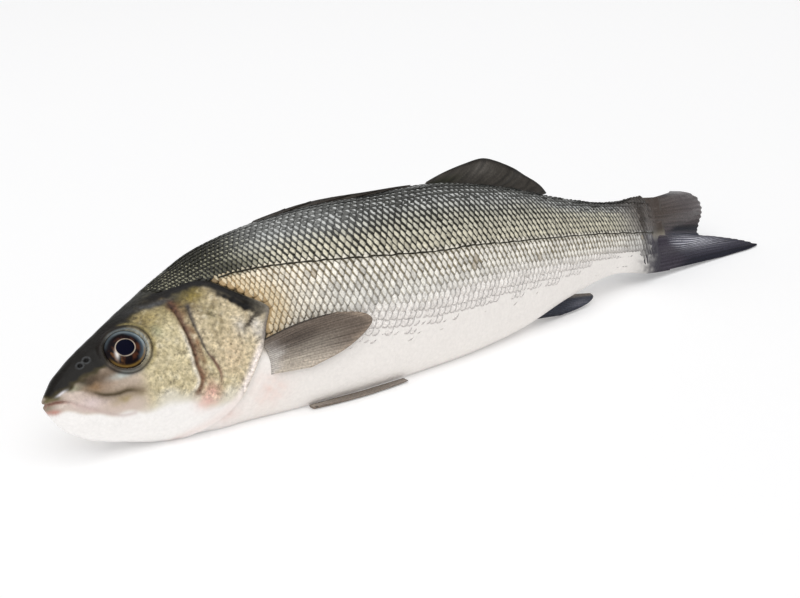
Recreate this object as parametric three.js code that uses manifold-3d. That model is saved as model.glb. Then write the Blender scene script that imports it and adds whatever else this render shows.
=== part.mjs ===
// A whole sea bass that lies on its belly and leans on its right side, in millimetres.
// +X runs from the snout to the tail, -Y is the side of its left flank, and +Z is up.
import * as THREE from "three";
import { mergeVertices } from "three/addons/utils/BufferGeometryUtils.js";
import Module from "manifold-3d";

// Driving dimensions. A station is a share of the standard length, from the snout at 0
// to the end of the tail stalk at 1. Heights and widths are shares of the trunk's own.
const standardLength = 357;
const bodyDepth = 86;
const bodyWidth = 51.5;
const bellyPress = 5.4;
const eyeDiameter = 17;
const eyeThickness = 9;
const eyeBulge = 1.3;
const grooveRadius = 0.9;
const spinyFinHeight = 3;
const softFinHeight = 13.4;
const softFinSweep = 17;
const analFinLength = 29;
const pectoralLength = 49;
const pelvicLength = 50;
const foldedPelvicWidth = 4.5;
const spreadPelvicWidth = 11;
const upperLobeLength = 70;
const lowerLobeLength = 69;
const tailForkLength = 28;
const finThickness = 1.5;
const clearance = 0.3;

// How the fish lies: the spine's sideways bend and height over the floor, and the lean.
const spineSideways = [[0, -0.015], [0.2, 0.012], [0.45, 0], [0.7, 0.007], [1, 0.032]];
const spineHeight = [[0, 0.347], [0.2, 0.339], [0.45, 0.417], [0.7, 0.413], [1, 0.247]];
const leanDegrees = [[0, 16], [0.2, 24], [0.45, 21], [0.7, 18], [1, 17.5]];
const spineReach = 0.993;

// The side view and the plan view of the trunk.
const topShape = [[0, 0.04], [0.02, 0.085], [0.05, 0.157], [0.1, 0.252], [0.2, 0.419],
  [0.25, 0.49], [0.3, 0.523], [0.4, 0.537], [0.5, 0.507], [0.6, 0.482], [0.7, 0.393],
  [0.8, 0.281], [0.9, 0.221], [1, 0.25]];
const bottomShape = [[0, 0.075], [0.02, 0.14], [0.05, 0.228], [0.1, 0.308], [0.2, 0.397],
  [0.25, 0.41], [0.3, 0.433], [0.4, 0.464], [0.5, 0.47], [0.6, 0.461], [0.7, 0.408],
  [0.8, 0.292], [0.9, 0.2], [1, 0.246]];
const widthShape = [[0, 0.2], [0.02, 0.3], [0.05, 0.44], [0.1, 0.64], [0.2, 0.906],
  [0.25, 0.972], [0.3, 1], [0.4, 0.986], [0.5, 0.934], [0.6, 0.839], [0.7, 0.68],
  [0.8, 0.495], [0.9, 0.31], [1, 0.173]];
const widestShare = 0.52;
const backRoundness = 1.8;
const leftBellyRoundness = 2.15;
const rightBellyRoundness = 2.8;
const snoutStart = 0.006;
const snoutRound = 0.032;
const stalkEnd = 1.015;

const LEFT = -1;
const RIGHT = 1;
const mix = THREE.MathUtils.lerp;

// A smooth curve through [station, value] knots, straight beyond its ends.
function smooth(knots) {
  const last = knots.length - 1;
  const secant = (i) => (knots[i + 1][1] - knots[i][1]) / (knots[i + 1][0] - knots[i][0]);
  const slopes = knots.map((knot, i) => {
    if (i === 0) return secant(0);
    if (i === last) return secant(last - 1);
    const before = knot[0] - knots[i - 1][0];
    const after = knots[i + 1][0] - knot[0];
    return (secant(i - 1) * after + secant(i) * before) / (before + after);
  });
  return (x) => {
    if (x <= knots[0][0]) return knots[0][1] + slopes[0] * (x - knots[0][0]);
    if (x >= knots[last][0]) return knots[last][1] + slopes[last] * (x - knots[last][0]);
    let i = 0;
    while (x > knots[i + 1][0]) i += 1;
    const span = knots[i + 1][0] - knots[i][0];
    const t = (x - knots[i][0]) / span;
    const startWeight = (1 + 2 * t) * (1 - t) ** 2;
    const endWeight = t * t * (3 - 2 * t);
    const bend = t * (1 - t) * ((1 - t) * slopes[i] - t * slopes[i + 1]);
    return startWeight * knots[i][1] + endWeight * knots[i + 1][1] + span * bend;
  };
}

const sideways = smooth(spineSideways);
const height = smooth(spineHeight);
const lean = smooth(leanDegrees);
const top = smooth(topShape);
const bottom = smooth(bottomShape);
const width = smooth(widthShape);

function spine(station) {
  const x = standardLength * spineReach * station;
  return new THREE.Vector3(x, standardLength * sideways(station), bodyDepth * height(station));
}

// The point beside and above the spine, in the leaning frame of that station.
function place(station, across, above) {
  const step = 0.002;
  const along = spine(station + step).sub(spine(station - step)).normalize();
  const angle = THREE.MathUtils.degToRad(lean(station));
  const up = new THREE.Vector3(0, Math.sin(angle), Math.cos(angle));
  up.addScaledVector(along, -up.dot(along)).normalize();
  const right = new THREE.Vector3().crossVectors(up, along);
  return spine(station).addScaledVector(right, across).addScaledVector(up, above);
}

// Top, bottom, widest height and half width of the trunk at a station. The snout is
// rounded off at one end and the stalk narrows into the tail fin at the other.
function section(station) {
  const inside = Math.min(Math.max(station, snoutStart), 1);
  const front = Math.min((inside - snoutStart) / (snoutRound - snoutStart), 1);
  const blunt = Math.sqrt(1 - (1 - front) ** 2);
  const beyond = Math.max(station - 1, 0) / (stalkEnd - 1);
  const tall = bodyDepth * Math.max(blunt, 0.15) * (1 - 0.08 * beyond ** 2);
  const highest = tall * top(inside);
  const lowest = -tall * bottom(inside);
  const middle = lowest + (highest - lowest) * widestShare;
  const half = (bodyWidth / 2) * width(inside) * Math.max(blunt, 0.15) * (1 - 0.7 * beyond);
  return { highest, lowest, middle, half };
}

// The skin at an angle around the trunk: 0 is the right side and 90 degrees is the back.
function skin(station, angle) {
  const { highest, lowest, middle, half } = section(station);
  const c = Math.cos(angle);
  const s = Math.sin(angle);
  const belly = c > 0 ? rightBellyRoundness : leftBellyRoundness;
  const roundness = s >= 0 ? backRoundness : belly;
  const across = half * Math.sign(c) * Math.abs(c) ** (2 / roundness);
  const reach = s >= 0 ? highest - middle : middle - lowest;
  return place(station, across, middle + reach * Math.sign(s) * Math.abs(s) ** (2 / roundness));
}

// A point over the flank at a height from the spine, lifted off the skin.
function flank(side, station, above, lift = 0) {
  const { highest, lowest, middle, half } = section(station);
  const belly = side === RIGHT ? rightBellyRoundness : leftBellyRoundness;
  const roundness = above >= middle ? backRoundness : belly;
  const share = above >= middle ? (above - middle) / (highest - middle)
    : (middle - above) / (middle - lowest);
  const across = half * (1 - Math.min(share, 0.999) ** roundness) ** (1 / roundness);
  return place(station, side * (across + lift), above);
}

function flankNormal(side, station, above) {
  const step = 0.004;
  const along = flank(side, station + step, above).sub(flank(side, station - step, above));
  const rise = step * standardLength;
  const up = flank(side, station, above + rise).sub(flank(side, station, above - rise));
  return new THREE.Vector3().crossVectors(up, along).multiplyScalar(side).normalize();
}

function geometryFrom(points, triangles) {
  const geometry = new THREE.BufferGeometry();
  const positions = points.flatMap((point) => point.toArray());
  geometry.setAttribute("position", new THREE.Float32BufferAttribute(positions, 3));
  geometry.setIndex(triangles);
  return geometry;
}

// A closed tube through rings of points, with a fan over each end.
function loft(rings) {
  const count = rings[0].length;
  const points = rings.flat();
  const triangles = [];
  for (let i = 0; i < rings.length - 1; i += 1) {
    for (let j = 0; j < count; j += 1) {
      const a = i * count + j;
      const b = i * count + ((j + 1) % count);
      triangles.push(a, b, a + count, b, b + count, a + count);
    }
  }
  const addFan = (start, flip) => {
    const middle = new THREE.Vector3();
    for (let j = 0; j < count; j += 1) middle.addScaledVector(points[start + j], 1 / count);
    points.push(middle);
    for (let j = 0; j < count; j += 1) {
      const a = start + j;
      const b = start + ((j + 1) % count);
      triangles.push(points.length - 1, flip ? a : b, flip ? b : a);
    }
  };
  addFan(0, false);
  addFan((rings.length - 1) * count, true);
  return geometryFrom(points, triangles);
}

// A thin closed plate around a sheet of points, thinner towards its far edge.
function plate(columns, rows, pointAt, baseThickness = finThickness) {
  const sheet = (i, j) => pointAt(i / columns, j / rows);
  const points = [];
  for (const face of [1, -1]) {
    for (let i = 0; i <= columns; i += 1) {
      for (let j = 0; j <= rows; j += 1) {
        const along = sheet(Math.min(i + 1, columns), j).sub(sheet(Math.max(i - 1, 0), j));
        const out = sheet(i, Math.min(j + 1, rows)).sub(sheet(i, Math.max(j - 1, 0)));
        const normal = new THREE.Vector3().crossVectors(along, out).normalize();
        const half = (baseThickness / 2) * (1 - 0.5 * (j / rows));
        points.push(sheet(i, j).addScaledVector(normal, face * half));
      }
    }
  }
  const wide = rows + 1;
  const layer = (columns + 1) * wide;
  const triangles = [];
  const addQuad = (a, b, c, d) => triangles.push(a, b, c, a, c, d);
  for (let i = 0; i < columns; i += 1) {
    for (let j = 0; j < rows; j += 1) {
      const a = i * wide + j;
      addQuad(a, a + wide, a + wide + 1, a + 1);
      addQuad(layer + a, layer + a + 1, layer + a + wide + 1, layer + a + wide);
    }
    const root = i * wide;
    addQuad(root, layer + root, layer + root + wide, root + wide);
    const edge = root + rows;
    addQuad(edge, edge + wide, layer + edge + wide, layer + edge);
  }
  for (let j = 0; j < rows; j += 1) {
    addQuad(j, j + 1, layer + j + 1, layer + j);
    const rear = columns * wide + j;
    addQuad(rear, layer + rear, layer + rear + 1, rear + 1);
  }
  return geometryFrom(points, triangles);
}

const manifold = await Module();
manifold.setup();

function solidFrom(geometry) {
  const bare = geometry.clone();
  bare.deleteAttribute("normal");
  bare.deleteAttribute("uv");
  const merged = mergeVertices(bare, 1e-4);
  const vertProperties = new Float32Array(merged.attributes.position.array);
  const triVerts = new Uint32Array(merged.index.array);
  return new manifold.Manifold(new manifold.Mesh({ numProp: 3, vertProperties, triVerts }));
}

function geometryOf(solid) {
  const mesh = solid.getMesh();
  const geometry = new THREE.BufferGeometry();
  geometry.setAttribute("position", new THREE.BufferAttribute(mesh.vertProperties, 3));
  geometry.setIndex(new THREE.BufferAttribute(mesh.triVerts, 1));
  geometry.computeVertexNormals();
  return geometry;
}

// The trunk's skin as rings, closer together at the head.
function trunk() {
  const stations = 46;
  const around = 36;
  const rings = [];
  for (let i = 0; i <= stations; i += 1) {
    const t = i / stations;
    const station = mix(snoutStart, stalkEnd, t * (0.35 + 0.65 * t));
    const ring = [];
    for (let j = 0; j < around; j += 1) {
      ring.push(skin(station, ((j + 0.5) / around) * 2 * Math.PI));
    }
    rings.push(ring);
  }
  return loft(rings);
}

// A round groove that follows points on one flank.
function groove(side, points) {
  const path = new THREE.CatmullRomCurve3(
    points.map(([station, above]) => flank(side, station, above * bodyDepth)));
  const outline = new THREE.Shape().absarc(0, 0, grooveRadius, 0, 2 * Math.PI);
  return new THREE.ExtrudeGeometry(outline,
    { steps: 4 * points.length, curveSegments: 3, bevelEnabled: false, extrudePath: path });
}

function gillOpening(side) {
  return groove(side, [[0.238, 0.325], [0.255, 0.282], [0.293, 0.14], [0.296, 0.076],
    [0.27, -0.085], [0.257, -0.176], [0.24, -0.264], [0.208, -0.326], [0.19, -0.36]]);
}

function mouthLine(side) {
  return groove(side, [[-0.004, 0.004], [0.012, 0.002], [0.054, -0.024], [0.095, -0.094]]);
}

// A lens-shaped eye set in the side of the head, or its socket when grown by a gap.
function eye(side, gap = 0) {
  const station = 0.106;
  const above = 0.138 * bodyDepth;
  const outward = flankNormal(side, station, above);
  const deep = eyeThickness / 2;
  const centre = flank(side, station, above).addScaledVector(outward, eyeBulge - deep);
  const geometry = new THREE.SphereGeometry(1, 20, 12);
  geometry.scale(eyeDiameter / 2 + gap, eyeDiameter / 2 + gap, deep + gap);
  const turn = new THREE.Quaternion().setFromUnitVectors(new THREE.Vector3(0, 0, 1), outward);
  geometry.applyQuaternion(turn);
  return geometry.translate(centre.x, centre.y, centre.z);
}

// The floor's top is bellyPress above the lowest skin, which flattens the belly there.
function floorHeight() {
  let lowest = Infinity;
  for (let station = 0.1; station <= 0.6; station += 0.01) {
    for (let angle = Math.PI; angle < 2 * Math.PI; angle += 0.02) {
      lowest = Math.min(lowest, skin(station, angle).z);
    }
  }
  return lowest + bellyPress;
}
const floor = floorHeight();

function body() {
  const below = new THREE.BoxGeometry(3 * standardLength, 3 * standardLength, bodyDepth);
  below.translate(0, 0, floor - bodyDepth / 2);
  let solid = solidFrom(trunk()).subtract(solidFrom(below));
  for (const side of [LEFT, RIGHT]) {
    for (const cut of [eye(side, clearance), gillOpening(side), mouthLine(side)]) {
      solid = solid.subtract(solidFrom(cut));
    }
  }
  return geometryOf(solid);
}

const overBack = (station) => section(station).highest + clearance;
const underBelly = (station) => section(station).lowest - clearance;

// The spiny fin, folded down along the back.
function firstDorsalFin() {
  return plate(16, 3, (u, v) => {
    const station = mix(0.335, 0.56, u) + 0.01 * v;
    const rise = spinyFinHeight * Math.sin(Math.PI * mix(0.1, 0.9, u));
    return place(station, 0.25 * rise * v * v, overBack(station) + rise * v);
  });
}

// The soft fin, whose rays sweep back over its own base.
function secondDorsalFin() {
  const rise = smooth([[0, 0.08], [0.15, 0.7], [0.3, 1], [0.6, 0.8], [0.85, 0.48], [1, 0.12]]);
  const sweep = smooth([[0, 0.2], [0.15, 0.9], [0.3, 1], [0.6, 0.9], [0.85, 0.65], [1, 0.45]]);
  return plate(16, 5, (u, v) => {
    const station = mix(0.585, 0.765, u) + (softFinSweep * sweep(u) * v) / standardLength;
    const height = softFinHeight * rise(u) * v;
    return place(station, 0.08 * height * v, overBack(station) + height);
  });
}

// The anal fin, swept back under the tail. Where it meets the floor it slides to the left.
function analFin() {
  const lowest = floor + finThickness / 2;
  return plate(12, 4, (u, v) => {
    const root = mix(0.705, 0.79, u);
    const ray = analFinLength * mix(1, 0.75, u);
    const station = root + (0.95 * ray * v) / standardLength;
    const drop = underBelly(root) - 0.16 * ray * v;
    const point = place(station, 0, Math.min(drop, underBelly(station)));
    const sunk = Math.max(lowest - point.z, 0);
    return point.add(new THREE.Vector3(0, LEFT * sunk, sunk));
  });
}

// The forked tail fin. Its upper lobe sags away over the right side.
function caudalFin() {
  const fork = 0.5;
  const lobeShape = smooth([[0, 0], [0.4, 0.3], [0.7, 0.72], [0.9, 1], [1, 0.93]]);
  return plate(22, 8, (u, v) => {
    const upper = u < fork;
    const outward = Math.abs(u - fork) / fork;
    const lobe = upper ? upperLobeLength : lowerLobeLength;
    const reach = mix(tailForkLength, lobe, lobeShape(outward)) * v;
    const rootAbove = mix(section(1).highest, section(1).lowest, u) * 0.92;
    const tipAbove = upper ? mix(-0.01, 0.2, outward) : mix(-0.01, -0.15, outward);
    const above = mix(rootAbove, bodyDepth * tipAbove, v);
    const sag = (upper ? mix(0, 0.34, outward) : mix(0, -0.1, outward)) * bodyDepth;
    const station = stalkEnd + (clearance + reach) / standardLength;
    const point = place(station, sag * v ** 1.6, above);
    point.z = Math.max(point.z, floor + finThickness / 4);
    return point;
  });
}

// A pectoral fin laid back along its flank. The right one is held up clear of the floor.
function pectoralFin(side) {
  const raised = side === RIGHT ? 0.1 : 0;
  const tips = smooth([[0, 0.94], [0.25, 1], [0.5, 0.88], [0.75, 0.62], [1, 0.24]]);
  const drops = smooth([[0, -0.07], [0.25, -0.095], [0.5, -0.145], [0.75, -0.205], [1, -0.25]]);
  return plate(12, 6, (u, v) => {
    const root = mix(0.287, 0.293, u);
    const station = root + (pectoralLength * tips(u) * v) / standardLength;
    const bow = 0.045 * Math.sin(Math.PI * v) * (1 - u);
    const above = (mix(mix(-0.065, -0.21, u), drops(u), v) + bow + raised) * bodyDepth;
    const lift = clearance + finThickness + 3 * v * v;
    return flank(side, station, above, lift);
  });
}

// The point where the underside of a flank rises past a level, found along the section.
function flankAtLevel(side, station, level) {
  let turned = 0;
  const start = 1.5 * Math.PI;
  while (skin(station, start + side * turned).z < level && turned < 1.5) turned += 0.01;
  return skin(station, start + side * turned);
}

// A pelvic fin that lies on the floor beside the belly, fanned out to a given width.
function pelvicFin(side, fanned) {
  return plate(6, 10, (u, v) => {
    const station = 0.33 + (pelvicLength * v) / standardLength;
    const edge = flankAtLevel(side, station, floor + finThickness + clearance);
    const spread = fanned * mix(0.45, 1, Math.sin(Math.PI * mix(0.15, 0.8, v)));
    const out = edge.y + side * (clearance + spread * u);
    return new THREE.Vector3(edge.x, out, floor + finThickness / 2);
  });
}

const skinSilver = new THREE.MeshStandardMaterial({ color: 0xb9b7a8, roughness: 0.35, metalness: 0.25 });
const eyeDark = new THREE.MeshStandardMaterial({ color: 0x16181f, roughness: 0.08, metalness: 0 });
const finGrey = new THREE.MeshStandardMaterial({ color: 0x6d675c, roughness: 0.4, metalness: 0 });

const fish = new THREE.Group();
function add(name, geometry, material) {
  const mesh = new THREE.Mesh(geometry, material);
  mesh.name = name;
  fish.add(mesh);
}

add("body", body(), skinSilver);
add("left_eye", eye(LEFT), eyeDark);
add("right_eye", eye(RIGHT), eyeDark);
add("first_dorsal_fin", firstDorsalFin(), finGrey);
add("second_dorsal_fin", secondDorsalFin(), finGrey);
add("caudal_fin", caudalFin(), finGrey);
add("anal_fin", analFin(), finGrey);
add("left_pectoral_fin", pectoralFin(LEFT), finGrey);
add("right_pectoral_fin", pectoralFin(RIGHT), finGrey);
add("left_pelvic_fin", pelvicFin(LEFT, foldedPelvicWidth), finGrey);
add("right_pelvic_fin", pelvicFin(RIGHT, spreadPelvicWidth), finGrey);

// The origin is the middle of the bottom of the fish's box.
const box = new THREE.Box3().setFromObject(fish, true);
const middle = box.getCenter(new THREE.Vector3());
fish.position.set(-middle.x, -middle.y, -box.min.z);

export default fish;
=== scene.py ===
import math

import bpy
import numpy as np
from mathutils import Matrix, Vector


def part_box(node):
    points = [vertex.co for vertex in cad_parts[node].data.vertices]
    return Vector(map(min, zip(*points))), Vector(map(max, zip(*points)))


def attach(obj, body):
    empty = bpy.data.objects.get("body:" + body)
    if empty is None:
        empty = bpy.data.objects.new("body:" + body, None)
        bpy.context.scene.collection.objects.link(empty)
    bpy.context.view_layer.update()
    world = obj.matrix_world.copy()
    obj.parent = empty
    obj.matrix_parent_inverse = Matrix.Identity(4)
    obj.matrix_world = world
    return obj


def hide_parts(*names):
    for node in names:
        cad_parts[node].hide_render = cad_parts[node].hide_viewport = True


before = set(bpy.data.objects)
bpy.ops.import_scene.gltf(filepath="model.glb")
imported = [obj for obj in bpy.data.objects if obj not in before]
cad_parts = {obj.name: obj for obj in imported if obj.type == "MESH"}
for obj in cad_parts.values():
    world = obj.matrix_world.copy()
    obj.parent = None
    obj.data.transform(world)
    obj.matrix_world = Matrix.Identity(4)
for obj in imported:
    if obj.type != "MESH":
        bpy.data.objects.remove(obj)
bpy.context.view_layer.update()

LEFT = -1
RIGHT = 1

# ---- Studio -------------------------------------------------------------------------------
# The fish lies on a plain white table. The camera looks down on its left side, a little
# from ahead, under a wide lamp like a cloudy sky and two soft boxes.

scene = bpy.context.scene
scene.view_settings.view_transform = "Standard"

aim = (-0.0457, -0.0279, 0.0378)
camera_distance = 0.7687
camera_turn = math.radians(-34.51)
camera_dip = math.radians(19.19)
camera_roll = math.radians(-2.8)
camera_lens = 77.4

sky_power = 1.6
sky_spread = math.radians(75)
room_light = 0.36
table_size = 30
table_drop = 0.0002


def aimed(thing, turn, dip, distance, roll=0.0):
    """Places a camera or a lamp on a sphere round the aim point, facing it."""
    away = (math.sin(turn) * math.cos(dip), -math.cos(turn) * math.cos(dip), math.sin(dip))
    thing.location = [a + distance * b for a, b in zip(aim, away)]
    thing.rotation_mode = "QUATERNION"
    facing = thing.location - bpy.data.objects["aim"].location
    level = facing.to_track_quat("Z", "Y")
    thing.rotation_quaternion = level @ type(level)((0, 0, 1), roll)
    scene.collection.objects.link(thing)


aim_point = bpy.data.objects.new("aim", None)
aim_point.location = aim
scene.collection.objects.link(aim_point)

camera = bpy.data.objects.new("camera", bpy.data.cameras.new("camera"))
camera.data.lens = camera_lens
camera.data.sensor_width = 36
camera.data.clip_start = 0.01
camera.data.clip_end = 100
aimed(camera, camera_turn, camera_dip, camera_distance, camera_roll)
scene.camera = camera

sky = bpy.data.objects.new("overhead_sky", bpy.data.lights.new("overhead_sky", "SUN"))
sky.data.energy = sky_power
sky.data.angle = sky_spread
aimed(sky, math.radians(-30), math.radians(68), 2)

soft_boxes = [
    # name, turn and dip in degrees, distance, width, height, power
    ("side_box", -58, 30, 1.5, 1.2, 0.7, 3.0),
    ("rear_box", 165, 55, 1.5, 1.2, 0.4, 1.0),
]
for name, turn, dip, distance, wide, tall, power in soft_boxes:
    lamp = bpy.data.objects.new(name, bpy.data.lights.new(name, "AREA"))
    lamp.data.shape = "RECTANGLE"
    lamp.data.size = wide
    lamp.data.size_y = tall
    lamp.data.energy = power
    aimed(lamp, math.radians(turn), math.radians(dip), distance)

world = bpy.data.worlds.new("white_room")
world.use_nodes = True
world.node_tree.nodes["Background"].inputs["Color"].default_value = (1, 1, 1, 1)
world.node_tree.nodes["Background"].inputs["Strength"].default_value = room_light
scene.world = world


def mesh_object(name, points, faces, edges=()):
    """A mesh piece from plain lists, linked to the scene."""
    mesh = bpy.data.meshes.new(name)
    mesh.from_pydata([tuple(p) for p in points], list(edges), faces)
    mesh.validate()
    mesh.shade_smooth()
    thing = bpy.data.objects.new(name, mesh)
    scene.collection.objects.link(thing)
    return thing


def put(tree, kind, sockets=None, **settings):
    """Adds a node, sets its settings, and fills its inputs with values or links."""
    node = tree.nodes.new(kind)
    for key, value in settings.items():
        setattr(node, key, value)
    for key, value in (sockets or {}).items():
        if isinstance(value, bpy.types.NodeSocket):
            tree.links.new(value, node.inputs[key])
        else:
            node.inputs[key].default_value = value
    return node


def new_material(name, **shader_values):
    """An empty Principled material. Spaces in the shader's own names are underscores."""
    material = bpy.data.materials.new(name)
    material.use_nodes = True
    shader = material.node_tree.nodes["Principled BSDF"]
    for key, value in shader_values.items():
        shader.inputs[key.replace("_", " ")].default_value = value
    return material, material.node_tree, shader


def attribute(tree, name, output="Color"):
    """What the points of a mesh keep under a name."""
    return put(tree, "ShaderNodeAttribute", attribute_name=name).outputs[output]


def maths(tree, operation, *values):
    """One step of arithmetic on numbers or sockets."""
    return put(tree, "ShaderNodeMath", dict(enumerate(values)), operation=operation).outputs[0]


def vector_maths(tree, operation, *values, result="Vector"):
    node = put(tree, "ShaderNodeVectorMath", dict(enumerate(values)), operation=operation)
    return node.outputs[result]


def scaled(tree, colour, gain):
    """A colour made lighter or darker by a factor."""
    node = put(tree, "ShaderNodeVectorMath", {0: colour, "Scale": gain}, operation="SCALE")
    return node.outputs[0]


half = table_size / 2
table = mesh_object("table", [(-half, -half, -table_drop), (half, -half, -table_drop),
                              (half, half, -table_drop), (-half, half, -table_drop)],
                    [(0, 1, 2, 3)])
table_paint, tree, shader = new_material(
    "table_paint", Base_Color=(0.93, 0.93, 0.935, 1), Roughness=0.6, Specular_IOR_Level=0.1,
    Emission_Color=(1, 1, 1, 1), Emission_Strength=0.15)
table.data.materials.append(table_paint)

# ---- Skin ---------------------------------------------------------------------------------
# One skin covers head, trunk and tail stalk. The bones of the gill cover, the cheek and the
# jaws show through it as low relief, and the belly is pressed flat where it lies.

standard_length = 0.357
body_depth = 0.086
body_width = 0.0515
spine_reach = 0.993
spine_sideways = [[0, -0.015], [0.2, 0.012], [0.45, 0], [0.7, 0.007], [1, 0.032]]
spine_height = [[0, 0.347], [0.2, 0.339], [0.45, 0.417], [0.7, 0.413], [1, 0.247]]
lean_degrees = [[0, 16], [0.2, 24], [0.45, 21], [0.7, 18], [1, 17.5]]
top_shape = [[0, 0.04], [0.02, 0.085], [0.05, 0.157], [0.1, 0.252], [0.2, 0.419],
             [0.25, 0.49], [0.3, 0.523], [0.4, 0.537], [0.5, 0.507], [0.6, 0.482],
             [0.7, 0.393], [0.8, 0.281], [0.9, 0.221], [1, 0.25]]
bottom_shape = [[0, 0.075], [0.02, 0.14], [0.05, 0.228], [0.1, 0.308], [0.2, 0.397],
                [0.25, 0.41], [0.3, 0.433], [0.4, 0.464], [0.5, 0.47], [0.6, 0.461],
                [0.7, 0.408], [0.8, 0.292], [0.9, 0.2], [1, 0.246]]
width_shape = [[0, 0.2], [0.02, 0.3], [0.05, 0.44], [0.1, 0.64], [0.2, 0.906],
               [0.25, 0.972], [0.3, 1], [0.4, 0.986], [0.5, 0.934], [0.6, 0.839],
               [0.7, 0.68], [0.8, 0.495], [0.9, 0.31], [1, 0.173]]
widest_share = 0.52
back_roundness = 1.8
belly_roundness = {LEFT: 2.15, RIGHT: 2.8}
length_mm = standard_length * 1000
depth_mm = body_depth * 1000
snout_start = 0.006
snout_round = 0.032
stalk_end = 1.016
head_fade = (0.33, 0.27)


def through(knots):
    """A smooth curve through [place, value] knots, straight beyond its ends."""
    x, y = np.array(knots, float).T
    gap = np.diff(x)
    secant = np.diff(y) / gap
    inner = (secant[:-1] * gap[1:] + secant[1:] * gap[:-1]) / (gap[1:] + gap[:-1])
    slope = np.concatenate([secant[:1], inner, secant[-1:]])

    def curve(at):
        at = np.asarray(at, float)
        i = np.clip(np.searchsorted(x, at, side="right") - 1, 0, len(gap) - 1)
        t = np.clip((at - x[i]) / gap[i], 0, 1)
        value = (1 + 2 * t) * (1 - t) ** 2 * y[i] + t * t * (3 - 2 * t) * y[i + 1]
        value += gap[i] * t * (1 - t) * ((1 - t) * slope[i] - t * slope[i + 1])
        before = np.minimum(at - x[0], 0) * slope[0]
        return value + before + np.maximum(at - x[-1], 0) * slope[-1]
    return curve


def mix(a, b, t):
    return a + (b - a) * t


def ease(low, high, x):
    t = np.clip((x - low) / (high - low), 0, 1)
    return t * t * (3 - 2 * t)


sideways = through(spine_sideways)
spine_rise = through(spine_height)
lean = through(lean_degrees)
top = through(top_shape)
bottom = through(bottom_shape)
width = through(width_shape)
start = np.zeros(3)


def unit(vectors):
    return vectors / np.linalg.norm(vectors, axis=-1, keepdims=True)


def spine(station):
    station = np.asarray(station, float)
    run = standard_length * spine_reach * station
    beside = standard_length * sideways(station)
    return start + np.stack([run, beside, body_depth * spine_rise(station)], -1)


def place(station, across, above):
    """The point beside and above the spine, in the leaning frame of that station."""
    station, across, above = np.broadcast_arrays(np.asarray(station, float), across, above)
    step = 0.002
    along = unit(spine(station + step) - spine(station - step))
    angle = np.radians(lean(station))
    up = np.stack([np.zeros_like(angle), np.sin(angle), np.cos(angle)], -1)
    up = unit(up - (up * along).sum(-1, keepdims=True) * along)
    right = np.cross(up, along)
    return spine(station) + across[..., None] * right + above[..., None] * up


def section(station):
    """Highest, lowest and widest heights and half the width of the trunk at a station."""
    station = np.asarray(station, float)
    inside = np.clip(station, snout_start, 1)
    front = np.minimum((inside - snout_start) / (snout_round - snout_start), 1)
    blunt = np.maximum(np.sqrt(1 - (1 - front) ** 2), 0.15)
    beyond = ease(0.955, 1.008, station)
    tall = body_depth * blunt * (1 - 0.09 * beyond)
    highest = tall * top(inside)
    lowest = -tall * bottom(inside)
    middle = lowest + (highest - lowest) * widest_share
    half_wide = (body_width / 2) * width(inside) * blunt * (1 - 0.96 * beyond)
    return highest, lowest, middle, half_wide


def around(station, angle):
    """Across and above at an angle round the trunk: 0 is right and 90 degrees the back."""
    highest, lowest, middle, half_wide = section(station)
    c, s = np.cos(angle), np.sin(angle)
    belly = np.where(c > 0, belly_roundness[RIGHT], belly_roundness[LEFT])
    power = 2 / np.where(s >= 0, back_roundness, belly)
    across = half_wide * np.sign(c) * np.abs(c) ** power
    reach = np.where(s >= 0, highest - middle, middle - lowest)
    return across, middle + reach * np.sign(s) * np.abs(s) ** power


def flank(side, station, above, lift=0.0):
    """A point over the flank at a height from the spine, lifted off the skin."""
    highest, lowest, middle, half_wide = section(station)
    power = np.where(above >= middle, back_roundness, belly_roundness[side])
    share = np.where(above >= middle, (above - middle) / (highest - middle),
                     (middle - above) / (middle - lowest))
    across = half_wide * (1 - np.clip(share, 0, 0.999) ** power) ** (1 / power)
    return place(station, side * (across + lift), above)


def flank_normal(side, station, above):
    step = 0.004
    along = flank(side, station + step, above) - flank(side, station - step, above)
    rise = step * standard_length
    up = flank(side, station, above + rise) - flank(side, station, above - rise)
    return unit(side * np.cross(up, along))


eye_station = 0.106
eye_above = 0.138 * body_depth
eye_half_thick = 0.0045
eye_bulge = 0.0013


def eye_seat(side):
    outward = flank_normal(side, eye_station, eye_above)
    on_skin = flank(side, eye_station, eye_above)
    return on_skin + outward * (eye_bulge - eye_half_thick), outward


# The whole fish is set where the frame holds it, by the middle of its left eye.
eye_low, eye_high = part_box("left_eye")
start = np.array((eye_low + eye_high) / 2) - eye_seat(LEFT)[0]

# Lines on the flank, as stations and heights in shares of the length and the depth.
gill_edge = [(0.189, 0.36), (0.218, 0.346), (0.237, 0.328), (0.248, 0.292), (0.259, 0.245),
             (0.281, 0.175), (0.297, 0.115), (0.298, 0.079), (0.289, 0.02), (0.281, -0.045),
             (0.273, -0.1), (0.261, -0.16), (0.247, -0.225), (0.232, -0.29),
             (0.213, -0.33), (0.19, -0.36), (0.15, -0.39)]
dark_band = [(0.15, 0.325), (0.163, 0.328), (0.181, 0.333), (0.202, 0.337), (0.219, 0.337),
             (0.233, 0.324), (0.246, 0.29), (0.259, 0.24), (0.27, 0.195), (0.285, 0.143),
             (0.297, 0.105)]
gill_rib = [(0.237, 0.24), (0.248, 0.228), (0.257, 0.185), (0.268, 0.131), (0.281, 0.098),
            (0.292, 0.09)]
gill_spine = [(0.29, 0.095), (0.277, 0.075), (0.265, 0.052), (0.253, 0.017)]
cheek_edge = [(0.181, 0.257), (0.182, 0.2), (0.182, 0.1), (0.182, 0.02), (0.181, -0.06),
              (0.183, -0.12), (0.177, -0.165), (0.16, -0.205)]
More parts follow.
